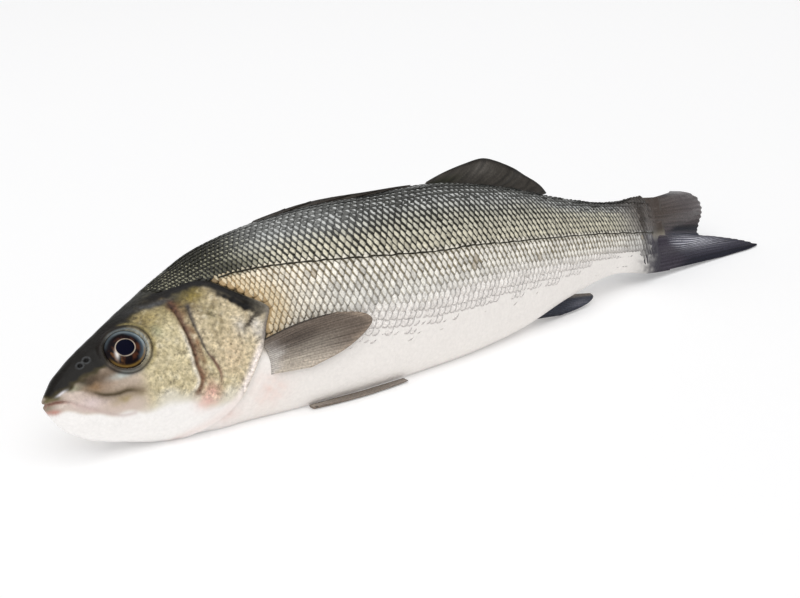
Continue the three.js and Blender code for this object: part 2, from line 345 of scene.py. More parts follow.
second_edge = [(0.199, 0.231), (0.195, 0.16), (0.196, 0.06), (0.198, -0.01),
               (0.205, -0.07), (0.209, -0.14), (0.203, -0.2), (0.185, -0.255)]
mouth_slit = [(-0.006, -0.012), (0.006, -0.012), (0.014, -0.008), (0.024, -0.02),
              (0.038, -0.06), (0.058, -0.115), (0.078, -0.158), (0.094, -0.168)]
jaw_crease = [(0.03, 0.03), (0.04, 0.01), (0.052, -0.014), (0.063, -0.042), (0.078, -0.058),
              (0.091, -0.059), (0.105, -0.082)]
crown_line = [(0, 0.03), (0.012, 0.02), (0.026, 0.033), (0.042, 0.058), (0.062, 0.073),
              (0.078, 0.09), (0.095, 0.2), (0.12, 0.228), (0.147, 0.282), (0.163, 0.284),
              (0.178, 0.27), (0.195, 0.27), (0.23, 0.3)]
chin_line = [(0, -0.05), (0.01, -0.062), (0.033, -0.086), (0.064, -0.147), (0.096, -0.187),
             (0.123, -0.205), (0.154, -0.217), (0.188, -0.286), (0.25, -0.31), (0.3, -0.31)]
lateral_line = [(0.2, 0.3), (0.253, 0.315), (0.292, 0.309), (0.335, 0.286), (0.385, 0.248),
                (0.452, 0.193), (0.531, 0.138), (0.6, 0.112), (0.673, 0.079),
                (0.757, 0.055), (0.872, 0.038), (1.006, 0.01)]
nostrils = [(0.062, 0.14), (0.053, 0.125)]


def height_over(line):
    return through([list(knot) for knot in line])


lateral_height = height_over(lateral_line)
crown_height = height_over(crown_line)
chin_height = height_over(chin_line)


def bell(distance, breadth):
    return np.exp(-(distance / breadth) ** 2)


def beside(line, x, y):
    """Distance in mm to a line on the flank, plus on its left hand, and how far along."""
    knots = np.array(line) * (length_mm, depth_mm)
    order = np.arange(len(knots))
    fine = np.linspace(0, order[-1], 6 * order[-1] + 1)
    path = np.stack([through(np.stack([order, knots[:, k]], -1))(fine) for k in (0, 1)], -1)
    nearest = np.full(x.shape, np.inf)
    signed = np.zeros(x.shape)
    along = np.zeros(x.shape)
    for k in range(len(path) - 1):
        (ax, ay), (dx, dy) = path[k], path[k + 1] - path[k]
        t = np.clip(((x - ax) * dx + (y - ay) * dy) / (dx * dx + dy * dy), 0, 1)
        gap = np.hypot(x - ax - t * dx, y - ay - t * dy)
        closer = gap < nearest
        nearest[closer] = gap[closer]
        hand = np.sign((y - ay) * dx - (x - ax) * dy)
        signed[closer] = (hand * gap)[closer]
        along[closer] = ((k + t) / (len(path) - 1))[closer]
    return signed, along


def waver(points, size, seed):
    """A smooth uneven value between about -1 and 1, for soft undulations."""
    draw = np.random.default_rng(seed)
    total = np.zeros(points.shape[:-1])
    for _ in range(7):
        direction = unit(draw.normal(size=3)) * draw.uniform(0.6, 1.5)
        total += np.sin(points @ direction * (2 * np.pi / size) + draw.uniform(0, 6.3))
    return total / 4


def head_marks(side, station, above, points):
    """Distances in mm from the lines of the head, worked out once for relief and colour."""
    x = station * length_mm
    y = above * 1000
    marks = {name: beside(line, x, y) for name, line in [
        ("gill", gill_edge), ("rib", gill_rib), ("spine", gill_spine), ("band", dark_band),
        ("cheek", cheek_edge), ("second", second_edge), ("slit", mouth_slit),
        ("jaw", jaw_crease)]}
    marks["crown"] = y - crown_height(station) * depth_mm
    marks["chin"] = y - chin_height(station) * depth_mm
    marks["eye"] = 1000 * np.linalg.norm(points - flank(side, eye_station, eye_above), axis=-1)
    marks["nostril"] = np.min([1000 * np.linalg.norm(
        points - flank(side, s, h * body_depth), axis=-1) for s, h in nostrils], axis=0)
    return marks


def relief(marks, station, above, points):
    """How far the skin stands out, in mm, over the smooth shape of the fish."""
    gill, gill_along = marks["gill"]
    cheek, cheek_along = marks["cheek"]
    second, second_along = marks["second"]
    slit, slit_along = marks["slit"]
    band, band_along = marks["band"]
    low = ease(0.02, -0.08, above / body_depth)
    cover_front = ease(0.08, 0.3, gill_along) * ease(1, 0.93, gill_along)
    out = 0.9 * np.exp(np.minimum(gill, 0) / 9) * ease(0.5, -0.5, gill) * cover_front
    out -= 1.1 * ease(-0.3, 0.4, gill) * ease(6, 0.8, gill) * cover_front
    out -= 0.5 * bell(gill + 3.8, 0.9) * low * cover_front
    out += 0.55 * bell(band + 1.2, 1.6) * ease(0, 0.3, band_along)
    out -= 0.5 * bell(band - 1.2, 0.9) * ease(0, 0.3, band_along) * ease(1, 0.8, band_along)
    out += 0.5 * bell(marks["rib"][0], 1.4) * ease(1, 0.8, marks["rib"][1])
    out -= 0.5 * bell(marks["spine"][0], 0.8) * ease(1, 0.7, marks["spine"][1])
    rim = ease(0, 0.08, cheek_along) * ease(1, 0.85, cheek_along)
    out += rim * (0.4 * bell(cheek + 2.0, 1.6) - 0.85 * bell(cheek, 1.0))
    rim = ease(0, 0.08, second_along) * ease(1, 0.8, second_along)
    out += rim * (0.35 * bell(second + 1.5, 1.2) - 0.6 * bell(second - 0.3, 0.8))
    deep = ease(0.62, 0.3, slit_along)
    out += 0.3 * deep * bell(np.abs(slit) - 1.4, 1.0) - (0.2 + 1.1 * deep) * bell(slit, 0.6)
    out -= 0.7 * bell(marks["jaw"][0] - 0.4, 1.1)
    eye = marks["eye"]
    out += 0.45 * bell(eye - 10.2, 1.1) - 0.3 * bell(eye - 12.6, 1.2)
    out -= 3.0 * ease(9.0, 8.3, eye)
    nostril = marks["nostril"]
    out += 0.25 * bell(nostril - 1.45, 0.45) - 1.0 * bell(nostril, 0.75)
    bony = ease(*head_fade, station)
    soft = 0.16 * waver(points, 0.026, 3) * ease(0, -4, gill)
    return out + bony * (soft + 0.08 * waver(points, 0.007, 5))


def tint(code):
    """A colour written as six hex digits, in linear light."""
    parts = np.array([int(code[k:k + 2], 16) for k in (0, 2, 4)]) / 255
    return np.where(parts < 0.04045, parts / 12.92, ((parts + 0.055) / 1.055) ** 2.4)


def lay(paint, colour, mask):
    """Paint with a colour laid over it where the mask is 1."""
    return paint + (tint(colour) - paint) * np.clip(mask, 0, 1)[..., None]


def wash(paint, *coats):
    """Paint with one coat after another laid over it, each a colour and a mask."""
    for colour, mask in coats:
        paint = lay(paint, colour, mask)
    return paint


# Soft blotches on the head: station, height share, half length and height in mm, colour
# and strength.
head_blotches = [
    (0.212, 0.272, 6.0, 3.6, "86763f", 0.85), (0.178, 0.318, 6.0, 1.8, "5f5230", 0.9),
    (0.165, 0.288, 9.0, 1.3, "4e4f52", 0.85), (0.151, 0.225, 5.0, 3.5, "a9935a", 0.6),
    (0.149, 0.17, 3.0, 3.0, "8f9a80", 0.5), (0.14, 0.23, 2.2, 3.5, "4d3d22", 0.7),
    (0.135, 0.12, 1.6, 5.0, "8c7442", 0.5), (0.164, 0.16, 4.0, 8.0, "cfc3a0", 0.6),
    (0.186, 0.262, 5.0, 3.4, "45371f", 0.8), (0.205, 0.225, 3.0, 3.0, "5d4c33", 0.6),
    (0.254, 0.05, 3.0, 4.0, "cfc8c0", 0.6),
    (0.276, 0.02, 3.4, 5.5, "cbc5c0", 0.7), (0.225, 0.1, 5.0, 8.0, "b5a684", 0.5),
    (0.234, -0.07, 6.0, 8.0, "d5bf9f", 0.55), (0.222, 0.17, 4.0, 4.0, "7d7657", 0.5),
    (0.192, -0.2, 4.2, 4.4, "dba99b", 0.6), (0.184, -0.235, 5.0, 3.0, "edc4ba", 0.6),
    (0.19, 0.04, 1.6, 14.0, "8d6f55", 0.7), (0.192, 0.22, 2.0, 4.0, "5b4630", 0.6),
    (0.09, 0.026, 6.5, 1.6, "c3cac6", 0.85), (0.057, 0.02, 3.0, 3.0, "b98f62", 0.75),
    (0.07, 0.0, 5.0, 2.4, "a78f7c", 0.6), (0.092, -0.02, 6.0, 2.2, "c4b3a3", 0.7),
    (0.083, -0.085, 5.0, 2.0, "a8966f", 0.7), (0.1, -0.13, 4.0, 2.5, "cdbcae", 0.6),
    (0.05, -0.055, 6.0, 2.5, "dbc9c6", 0.7), (0.073, 0.13, 3.0, 3.0, "323d45", 0.6),
    (0.05, 0.05, 4.0, 2.0, "3c3026", 0.8), (0.058, 0.045, 5.0, 3.6, "4b3d2e", 0.7),
    (0.076, 0.055, 4.5, 2.4, "6b5a49", 0.6), (0.035, 0.035, 3.0, 1.6, "9d9a84", 0.7),
    (0.011, 0.008, 3.4, 1.6, "6b6245", 0.9), (0.008, -0.03, 3.0, 1.8, "7f7c66", 0.9),
    (0.011, -0.05, 1.8, 1.3, "bd8478", 0.8),
    (0.019, -0.03, 3.0, 1.3, "d9cabf", 0.8), (0.225, -0.345, 9.0, 3.5, "f0d3ca", 0.5)]


def blotched(plate, blotches, x, y, gain):
    for s, h, long, tall, colour, strength in blotches:
        spot = bell(x - s * length_mm, long) * bell(y - h * depth_mm, tall)
        plate = lay(plate, colour, strength * spot * gain)
    return plate


def skin_paint(marks, station, above, points):
    """The skin's colour, from the white belly up, then the head's plates and marks."""
    highest, lowest, _, _ = section(station)
    level = (above - lowest) / (highest - lowest)
    x, y = station * length_mm, above * 1000
    share = above / body_depth
    over_line = share - lateral_height(station)
    blotch = waver(points, 0.016, 11)
    fleck = waver(points, 0.0045, 12)
    fine = waver(points, 0.0021, 13)
    paint = np.zeros(points.shape) + tint("f6f1ec")
    paint = wash(
        paint,
        ("b9b09c", ease(0.34, 0.5, level + 0.03 * blotch)),
        ("3d392a", ease(-0.03, 0.03, over_line + 0.01 * blotch)),
        # painted sheen: grey along the top of the back, standing in for overhead light reflected
        # there
        ("73746f", ease(0.84, 0.97, level)))
    stalk = ease(0.9, 1.0, station)
    paint = wash(
        paint,
        ("4d443f", stalk * ease(-0.06, 0.06, over_line)),
        ("b5b3b0", stalk * ease(0, -0.1, over_line)),
        ("34303a", ease(0.94, 0.985, station + 0.012 * fleck + 0.006 * fine)
         * ease(0.02, -0.06, over_line)))

    # The head, ahead of the edge of the gill cover.
    gill, gill_along = marks["gill"]
    head = ease(0.4, -0.6, gill) * ease(*head_fade, station)
    head = np.maximum(head, ease(0.25, 0.2, station))
    cheek, cheek_along = marks["cheek"]
    second, second_along = marks["second"]
    plate = np.zeros(points.shape) + tint("fbf8f5")
    chin = marks["chin"] + 1.2 * blotch
    plate = wash(
        plate,
        ("dfd8c6", ease(-0.5, 3.5, chin)),
        ("cabd9a", ease(2, 9, chin + 2 * blotch)),
        ("b5a57c", 0.8 * ease(0.08, 0.24, share + 0.03 * blotch)))
    snout = ease(0.12, 0.09, station)
    plate = wash(
        plate,
        ("d3c1b6", snout * ease(0, 2.5, chin)),
        ("a3917f", snout * ease(-0.3, 1.2, marks["jaw"][0])))
    on_cover = ease(-0.5, 1.0, second) * ease(0.19, 0.2, station)
    plate = lay(plate, "cbbb9c", 0.85 * on_cover * ease(-0.26, -0.05, share + 0.03 * blotch))
    plate = blotched(plate, head_blotches, x, y, 1.25 + 0.35 * fleck)
    streak = ease(0.1, 0.9, waver(points * (1, 1, 0.45), 0.0042, 17) + 0.5 * fine)
    plate = wash(
        plate,
        ("6d5b3c", 0.4 * streak * on_cover * ease(-0.1, 0.15, share)),
        ("efe6d2", 0.4 * ease(0.2, 1.0, -streak + 0.6 * fleck) * on_cover
         * ease(-0.2, 0.0, share)))
    grain = ease(2, 7, chin) * ease(0.1, 0.13, station)
    plate = wash(
        plate,
        ("7b6d42", 0.3 * grain * ease(0.0, 0.9, 0.4 * fine + 0.8 * fleck)),
        ("f2ead2", 0.25 * grain * ease(-0.2, -0.9, 0.4 * fine + 0.6 * fleck)),
        ("8b7d52", 0.55 * grain * ease(0.1, 0.26, share + 0.02 * blotch)
         * ease(0.2, 0.17, station)),
        ("efe8da", 0.7 * bell(cheek + 1.8, 1.0) * ease(0.2, 0.05, share)
         * ease(1, 0.85, cheek_along)))
    crown = marks["crown"] + 0.6 * fleck
    plate = wash(
        plate,
        ("40381f", ease(-1.2, 0.6, crown)),
        ("12100f", 0.96 * ease(0.2, 2.0, crown) * ease(0.22, 0.15, station)),
        ("33332c", ease(0.5, 3, crown) * ease(0.15, 0.2, station)),
        # painted glint: a small white highlight on the upper lip
        ("f4f2f8", 0.85 * bell(x - 8.0, 1.6) * bell(y - 2.5 - 0.4 * (x - 8), 0.5)
         * (1 + 0.6 * fleck)))
    plate = blotched(plate, head_blotches[:3], x, y, 0.8 * (1.1 + 0.35 * fleck))
    # Painted sheen: the top of the head turns lighter grey, standing in for overhead light
    # reflected there.
    top_sheen = ease(0.92, 0.99, level) * ease(0.1, 0.2, station)
    plate = lay(plate, "4b4c49", 0.6 * top_sheen)
    band, band_along = marks["band"]
    plate = lay(plate, "0e0d10", 0.95 * ease(2.5, 1.1, np.abs(band + 0.8) + 0.4 * fleck)
                * ease(0, 0.15, band_along))
    rib = marks["rib"][0]
    under_band = ease(0.5, -0.3, band) * ease(-2.6, -0.6, rib + 0.9 * fleck)
    under_band *= ease(0.232, 0.243, station + 0.002 * fleck)
    plate = lay(plate, "0e0b0a", under_band * (0.95 + 0.15 * fleck))
    frayed = np.abs(marks["spine"][0]) + 0.5 * fleck + 0.5 * fine
    plate = lay(plate, "1f1611", 0.9 * ease(1.5, 0.5, frayed) * ease(1, 0.7, marks["spine"][1]))
    groove = 1.5 + 0.5 * fleck + 0.5 * ease(0.1, 0.25, share)
    plate = wash(
        plate,
        ("6e4736", 0.9 * bell(cheek - 0.3, groove) * ease(1, 0.85, cheek_along)),
        ("2c1d16", 0.85 * bell(cheek + 0.2, 0.5 * groove) * ease(-0.12, 0.05, share)
         * (0.85 + 0.4 * fine)))
    frayed = 0.8 + 0.35 * fleck + 0.25 * fine + 0.5 * ease(0.1, 0.2, share)
    plate = wash(
        plate,
        ("37343a", 0.85 * bell(second - 0.2, frayed) * ease(0.9, 0.55, second_along)),
        ("8a5d4c", 0.6 * bell(second - 0.2, 0.9) * ease(1, 0.6, second_along)
         * ease(0.4, 0.6, second_along)))
    slit, slit_along = marks["slit"]
    jaw, jaw_along = marks["jaw"]
    # Along the jaw crease an olive band and a dark line are painted shade in the crease.
    plate = wash(
        plate,
        ("7b6a4d", 0.7 * bell(jaw - 0.2, 2.2) * ease(0.1, 0.5, jaw_along)),
        ("40341f", 0.85 * bell(jaw - 0.4, 0.8) * ease(0.15, 0.5, jaw_along)
         * ease(1.05, 0.8, jaw_along)),
        ("a07568", 0.85 * bell(slit, 0.7) * ease(0.5, 0.3, slit_along)),
        ("c4aca6", 0.5 * bell(slit, 0.8) * ease(0.3, 0.5, slit_along)))
    eye = marks["eye"]
    rearward = ease(-6, 7, x - eye_station * length_mm + 0.8 * (y - eye_above * 1000))
    plate = wash(
        plate,
        ("8c99a0", 0.75 * rearward * bell(eye - 9.3, 0.5)),
        ("2a2620", 0.9 * (1 - rearward) * bell(eye - 9.5, 1.0)),
        ("1a1512", 0.9 * bell(eye - 10.9, 0.7 + 1.4 * ease(0.15, 0.25, share))),
        ("a99a66", 0.5 * bell(eye - 12.2, 0.7) * ease(2, 6, x - 38)),
        ("0b0a09", ease(8.8, 8.4, eye)))
    nostril = marks["nostril"]
    plate = wash(
        plate,
        ("57595b", 0.6 * bell(nostril - 1.5, 0.35)),
        ("040404", bell(nostril, 0.95)))
    edge = bell(gill + 0.8, 1.0) * ease(0.3, 0.5, gill_along) * ease(-0.12, 0.0, share)
    plate = lay(plate, "59525c", 0.85 * edge)
    flap = bell(gill + 1.8, 1.7) * ease(-0.02, -0.1, share)
    plate = lay(plate, "f6ebe6", 0.9 * flap)
    paint = paint + (plate - paint) * head[..., None]

    # The dark seam, the bare tan skin and the flush of pink just behind the cover.
    behind = ease(0.2, 0.9, gill) * ease(0.25, 0.27, station)
    paint = wash(
        paint,
        ("c3ab85", behind * ease(16, 5, gill) * ease(-0.15, 0.0, share)
         * ease(0.01, -0.01, over_line)),
        ("2e2822", 0.85 * bell(gill - 0.5, 0.8) * ease(0.1, 0.25, gill_along)
         * ease(-0.1, 0.0, share)),
        ("f0cfc4", 0.4 * bell(x - 98, 9) * bell(y + 25, 7) * (1 + 0.4 * fleck)))
    grain = np.maximum(grain * head, 0.25 * ease(0.3, 0.5, level))
    return paint, grain


stored_fields = {"FLOAT": "value", "FLOAT_VECTOR": "vector", "FLOAT_COLOR": "color"}


def store(mesh, name, kind, values):
    """Keeps a number, a direction or a colour with every point of a mesh."""
    values = np.array(values, np.float32)
    if kind == "FLOAT_COLOR":
        values = np.insert(values, 3, 1, axis=1)
    layer = mesh.attributes.new(name, kind, "POINT")
    layer.data.foreach_set(stored_fields[kind], values.ravel())


def skin_mesh():
    head_rings, trunk_rings, sectors = 190, 128, 290
    head_end = 0.315
    stations = np.concatenate([np.linspace(snout_start, head_end, head_rings, endpoint=False),
                               np.linspace(head_end, stalk_end, trunk_rings)])
    angles = (np.arange(sectors) + 0.5) / sectors * 2 * np.pi
    station, angle = np.meshgrid(stations, angles, indexing="ij")
    across, above = around(station, angle)
    points = place(station, across, above)
    ring_step = np.roll(points, -1, 1) - np.roll(points, 1, 1)
    normal = unit(np.cross(np.gradient(points, axis=0), ring_step) * -1)
    lift = np.zeros(station.shape)
    paint = np.zeros(points.shape)
    grain = np.zeros(station.shape)
    for side in (LEFT, RIGHT):
        on_side = (across * side > 0)
        marks = head_marks(side, station[on_side], above[on_side], points[on_side])
        lift[on_side] = relief(marks, station[on_side], above[on_side], points[on_side])
        paint[on_side], grain[on_side] = skin_paint(
            marks, station[on_side], above[on_side], points[on_side])
    points = points + normal * lift[..., None] / 1000
    points[..., 2] = np.maximum(points[..., 2], 0)
    rings = len(stations)
    grid = np.arange(rings * sectors).reshape(rings, sectors)
    a, b = grid[:-1], np.roll(grid, -1, 1)[:-1]
    c, d = np.roll(grid, -1, 1)[1:], grid[1:]
    faces = np.stack([a, b, c, d], -1).reshape(-1, 4).tolist()
    flat = list(points.reshape(-1, 3))
    colour = list(paint.reshape(-1, 3))
    grit = list(grain.ravel()) + [0, 0]
    for ring, turned in ((0, False), (rings - 1, True)):
        flat.append(points[ring].mean(0))
        colour.append(paint[ring].mean(0))
        hub = len(flat) - 1
        for j in range(sectors):
            p, q = grid[ring, j], grid[ring, (j + 1) % sectors]
            faces.append((hub, p, q) if turned else (hub, q, p))
    thing = mesh_object("skin", flat, faces)
    store(thing.data, "paint", "FLOAT_COLOR", colour)
    store(thing.data, "grain", "FLOAT", grit)
    return thing


skin = skin_mesh()


def new_group(name, kind, inputs, outputs):
    """An empty node group, its inputs' identifiers, and the sockets of its two ends."""
    group = bpy.data.node_groups.new(name, kind)
    identifiers = []
    for label, socket_kind in inputs:
        socket = group.interface.new_socket(label, in_out="INPUT", socket_type=socket_kind)
        identifiers.append(socket.identifier)
    for label, socket_kind in outputs:
        group.interface.new_socket(label, in_out="OUTPUT", socket_type=socket_kind)
    given = group.nodes.new("NodeGroupInput").outputs
    return group, identifiers, given, group.nodes.new("NodeGroupOutput").inputs


# Wet mottling: fine flecks that lighten and darken a colour, and a height for its bump.
mottle, _, given, results = new_group(
    "wet_mottle", "ShaderNodeTree",
    [("Color", "NodeSocketColor"), ("Flecks", "NodeSocketFloat"),
     ("Size", "NodeSocketFloat"), ("Gloss", "NodeSocketFloat")],
    [("Color", "NodeSocketColor"), ("Roughness", "NodeSocketFloat"),
     ("Height", "NodeSocketFloat")])
at = put(mottle, "ShaderNodeTexCoord").outputs["Object"]
cells = put(mottle, "ShaderNodeTexNoise", {"Vector": at, "Scale": given["Size"],
                                           "Detail": 3.0, "Roughness": 0.6})
drift = put(mottle, "ShaderNodeTexNoise", {"Vector": at, "Scale": 260.0, "Detail": 3.0})
centred = put(mottle, "ShaderNodeMapRange", {"Value": cells.outputs[0],
                                             "From Min": 0.3, "From Max": 0.7,
                                             "To Min": -2.0, "To Max": 2.0})
mixed = maths(mottle, "MULTIPLY", centred.outputs[0], drift.outputs[0])
gain = maths(mottle, "MULTIPLY_ADD", mixed, given["Flecks"], 1.0)
sheen = maths(mottle, "MULTIPLY_ADD", drift.outputs[0], 0.25, given["Gloss"])
mottle.links.new(scaled(mottle, given["Color"], gain), results["Color"])
mottle.links.new(sheen, results["Roughness"])
mottle.links.new(mixed, results["Height"])


def mottled(tree, shader, colour, flecks, size, gloss, bump, depth):
    """Feeds a colour through the wet mottling into a shader, with its bump."""
    node = put(tree, "ShaderNodeGroup", {"Color": colour, "Flecks": flecks, "Size": size,
                                         "Gloss": gloss}, node_tree=mottle).outputs
    raised = put(tree, "ShaderNodeBump", {"Height": node["Height"], "Strength": bump,
                                          "Distance": depth})
    tree.links.new(node["Color"], shader.inputs["Base Color"])
    tree.links.new(node["Roughness"], shader.inputs["Roughness"])
    tree.links.new(raised.outputs["Normal"], shader.inputs["Normal"])


wet_skin, tree, shader = new_material("wet_skin", Coat_Weight=0.06, Coat_Roughness=0.1,
                                      Specular_IOR_Level=0.15)
flecks = maths(tree, "MULTIPLY_ADD", attribute(tree, "grain", "Fac"), 0.42, 0.04)
mottled(tree, shader, attribute(tree, "paint"), flecks, size=620.0, gloss=0.2, bump=0.2,
        depth=0.0003)
skin.data.materials.append(wet_skin)
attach(skin, "root")
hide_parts("body")

# ---- Scales -------------------------------------------------------------------------------
# Each scale is a thin horny plate, tucked under the ones ahead of it like a roof tile, its
# rear edge free. Rows run side by side with the lateral line, and get finer to the tail.

scale_pitch = through([[0.12, 0.0015], [0.2, 0.0017], [0.26, 0.0021], [0.33, 0.0027],
                       [0.42, 0.0031], [0.7, 0.0028], [1, 0.0021]])
row_pitch = through([[0.12, 0.0017], [0.2, 0.002], [0.26, 0.0025], [0.4, 0.0032],
                     [0.7, 0.0029], [1, 0.0022]])
row_lean = 0.36
first_scales = 0.115
last_scales = 0.982
lowest_scales = 0.15
look_ahead = 0.008
scale_scatter = 0.00011
scale_overlap = 2.0
scale_tilt = math.radians(3.6)
scale_lift = 0.00004
scale_sinking = 0.00022
pale_centre = (0.76, 0.5, 0)
pale_sharpness = (4.2, 2.35, 0)
line_span = (0.254, 0.985)
line_lift = 0.00028
line_radius = 0.00046


def scale_shape():
    """One scale of unit size: a low crowned plate with a blunt point to the rear."""
    rim_count = 10
    rim = []
    for k in range(rim_count):
        angle = 2 * math.pi * k / rim_count
        c, s = math.cos(angle), math.sin(angle)
        rim.append((0.5 + 0.5 * math.copysign(abs(c) ** 1.15, c), math.copysign(abs(s) ** 1.1, s)))
    inner = [(0.5 + 0.62 * (x - 0.5), 0.62 * y) for x, y in rim]
    points = [(x, y, -0.5 * y * y) for x, y in rim]
    points += [(x, y, 0.55 - 0.5 * y * y) for x, y in inner] + [(0.5, 0, 0.6), (0.5, 0, -0.4)]
    top_hub, low_hub = len(points) - 2, len(points) - 1
    faces = []
    for k in range(rim_count):
        n = (k + 1) % rim_count
        faces.append((k, n, rim_count + n, rim_count + k))
        faces.append((rim_count + k, rim_count + n, top_hub))
        faces.append((n, k, low_hub))
    shape = mesh_object("one_scale", points, faces)
    layer = shape.data.uv_layers.new(name="scale_map")
    for loop in shape.data.loops:
        x, y, _ = points[loop.vertex_index]
        layer.data[loop.index].uv = (x, 0.5 + 0.5 * y)
    return shape


def named(tree, name, kind):
    node = put(tree, "GeometryNodeInputNamedAttribute", data_type=kind)
    node.inputs["Name"].default_value = name
    return node.outputs["Attribute"]


def close_tree(tree, geometry, given, results):
    """Ends a geometry tree with real meshes in the given finish."""
    real = put(tree, "GeometryNodeRealizeInstances", {"Geometry": geometry})
    finished = put(tree, "GeometryNodeSetMaterial",
                   {"Geometry": real.outputs["Geometry"], "Material": given["Finish"]})
    tree.links.new(finished.outputs["Geometry"], results["Mesh"])


# Sets one copy of a shape on every point, turned and sized by the point's own values.
shingle, shingle_inputs, given, results = new_group(
    "shingle", "GeometryNodeTree",
    [("Points", "NodeSocketGeometry"), ("Shape", "NodeSocketObject"),
     ("Finish", "NodeSocketMaterial")], [("Mesh", "NodeSocketGeometry")])
copied = put(shingle, "GeometryNodeObjectInfo", {"Object": given["Shape"]})
turned = put(shingle, "FunctionNodeAxesToRotation",
             {"Primary Axis": named(shingle, "outward", "FLOAT_VECTOR"),
              "Secondary Axis": named(shingle, "rearward", "FLOAT_VECTOR")},
             primary_axis="Z", secondary_axis="X")
laid = put(shingle, "GeometryNodeInstanceOnPoints",
           {"Points": given["Points"], "Instance": copied.outputs["Geometry"],
            "Rotation": turned.outputs["Rotation"],
            "Scale": named(shingle, "measure", "FLOAT_VECTOR")})
close_tree(shingle, laid.outputs["Instances"], given, results)


def grown(seeds, tree, identifiers, values, name):
    """Runs a geometry tree on a piece and keeps the result as a plain mesh."""
    modifier = seeds.modifiers.new("grow", "NODES")
    modifier.node_group = tree
    for identifier, value in zip(identifiers[1:], values):
        modifier[identifier] = value
    bpy.context.view_layer.update()
    finished = seeds.evaluated_get(bpy.context.evaluated_depsgraph_get())
    mesh = bpy.data.meshes.new_from_object(finished)
    mesh.name = name
    mesh.shade_smooth()
    seeds.modifiers.remove(modifier)
    bpy.data.objects.remove(seeds)
    result = bpy.data.objects.new(name, mesh)
    scene.collection.objects.link(result)
    return result


def scale_rows(side):
    """Station and angle of every scale on one side, in rows along the lateral line."""
    stations = np.linspace(first_scales, 1.03, 300)
    angles = np.linspace(-np.pi / 2, np.pi / 2, 240)
    rows = {}
    for s in stations:
        across, above = around(s, angles if side == RIGHT else np.pi - angles)
        steps = np.linalg.norm(np.diff(place(s, across, above), axis=0), axis=-1)
        arc = np.concatenate([[0], np.cumsum(steps)])
        line = np.interp(lateral_height(s) * body_depth, above, arc)
        pitch = float(row_pitch(s))
        for r in range(math.ceil(-line / pitch), math.floor((arc[-1] - line) / pitch) + 1):
            rows.setdefault(r, []).append((s, np.interp(line + r * pitch, arc, angles)))
    spacing = np.diff(stations) * standard_length / scale_pitch(stations[1:])
    count = np.concatenate([[0], np.cumsum(spacing)])
    found = []
    for r, path in rows.items():
        along, angle = np.array(path).T
        first, last = np.interp(along[[0, -1]], stations, count)
        lag = row_lean * r
        places = np.arange(math.ceil(first + lag), math.floor(last + lag) + 1) - lag
        station = np.interp(places, count, stations)
        found += list(zip(station, np.interp(station, along, angle),
                          np.interp(station + look_ahead, along, angle)))
    return np.array(found)


def scale_colours(station, above, points, draw):
    """Centre and edge colours of the scales, how far the pale centre fills each, and how
    far each stands out of the skin."""
    highest, lowest, _, _ = section(station)
    level = (above - lowest) / (highest - lowest)
    over_line = above / body_depth - lateral_height(station)
    blotch = waver(points, 0.03, 21)
    ripple = waver(points, 0.009, 22)
    patchy = waver(points, 0.0045, 23)
    count = len(station)
    low = ease(0.3, 0.48, level + 0.05 * blotch)
    near = ease(-0.2, -0.05, over_line + 0.03 * blotch)
    front = ease(0.42, 0.28, station) * low
    back = ease(-0.008, 0.01, over_line)
    upper = ease(0.04, 0.22, over_line + 0.03 * ripple)
    # ridge marks the top of the back, where the scales lie flatter and carry painted sheen: light
    # grey centres and edges standing in for overhead light reflected there, the grey edges weaker
    # towards the tail by sheen.
    ridge = ease(0.79, 0.93, level + 0.015 * blotch)
    sheen = mix(0.35, 1, ease(0.5, 0.4, station))
    nape = ease(0.34, 0.25, station) * back
    shadow = bell(station - 0.268, 0.04) * bell(over_line - 0.035, 0.045 + 0.012 * ripple) * back
    plain = ease(0.48, 0.3, level)
    stalk = ease(0.86, 0.99, station + 0.01 * blotch)
    above_line = ease(-0.04, 0.04, over_line)
    end = ease(0.94, 0.985, station + 0.012 * patchy + 0.1 * np.maximum(0.35 - level, 0))
    end = end * (1 - above_line)
    stray = (draw.random(count) < 0.012) * low * (1 - back)
    ground = np.zeros((count, 3))
    pale = wash(
        ground + tint("f6f0ea"), ("f1eee6", low), ("f6f1e6", near), ("f0e3c9", 0.8 * front),
        ("ded8c2", back), ("c6c4b4", upper), ("ced0ce", ridge), ("bdb99f", nape),
        ("8d8b76", 0.7 * nape), ("2b2a1b", 0.9 * shadow), ("f8f3ee", plain),
        ("c4c3c0", stalk), ("5a504a", stalk * above_line), ("4a4550", end),
        ("8a7450", 0.5 * stray))
    dark = wash(
        ground + tint("efe8e2"), ("b0aa9e", low), ("857b64", near), ("8e7653", 0.8 * front),
        ("2c2a20", back), ("24231c", upper), ("727371", ridge * sheen), ("35342a", nape),
        ("25241c", 0.7 * nape), ("10100b", 0.9 * shadow), ("f1ebe6", 0.9 * plain),
        ("8e8c8a", stalk), ("3d3631", stalk * above_line), ("35313c", end))
    fill = 1.16 - 0.08 * near - 0.06 * back - 0.3 * upper - 0.1 * nape
    fill += 0.1 * back * ease(0.45, 0.6, station)
    uneven = 1 - 0.8 * plain[:, None]
    shade = 1 + uneven * (draw.normal(0, 0.1, (count, 1)) + 0.08 * (ripple + patchy)[:, None])
    fill += draw.normal(0, 0.08, count) + 0.05 * ripple
    stand = 1 - 0.95 * ease(0.5, 0.32, level) - 0.45 * ridge - 0.5 * nape
    stand = stand - 0.6 * ease(0.93, 1.0, station)
    return pale * np.clip(shade, 0.55, 1.1), dark * shade, fill, stand


def skin_points(side, station, angle):
    """Points of the smooth skin, and their heights above the spine."""
    turned = angle if side == RIGHT else np.pi - angle
    across, above = around(station, turned)
    return place(station, across, above), above


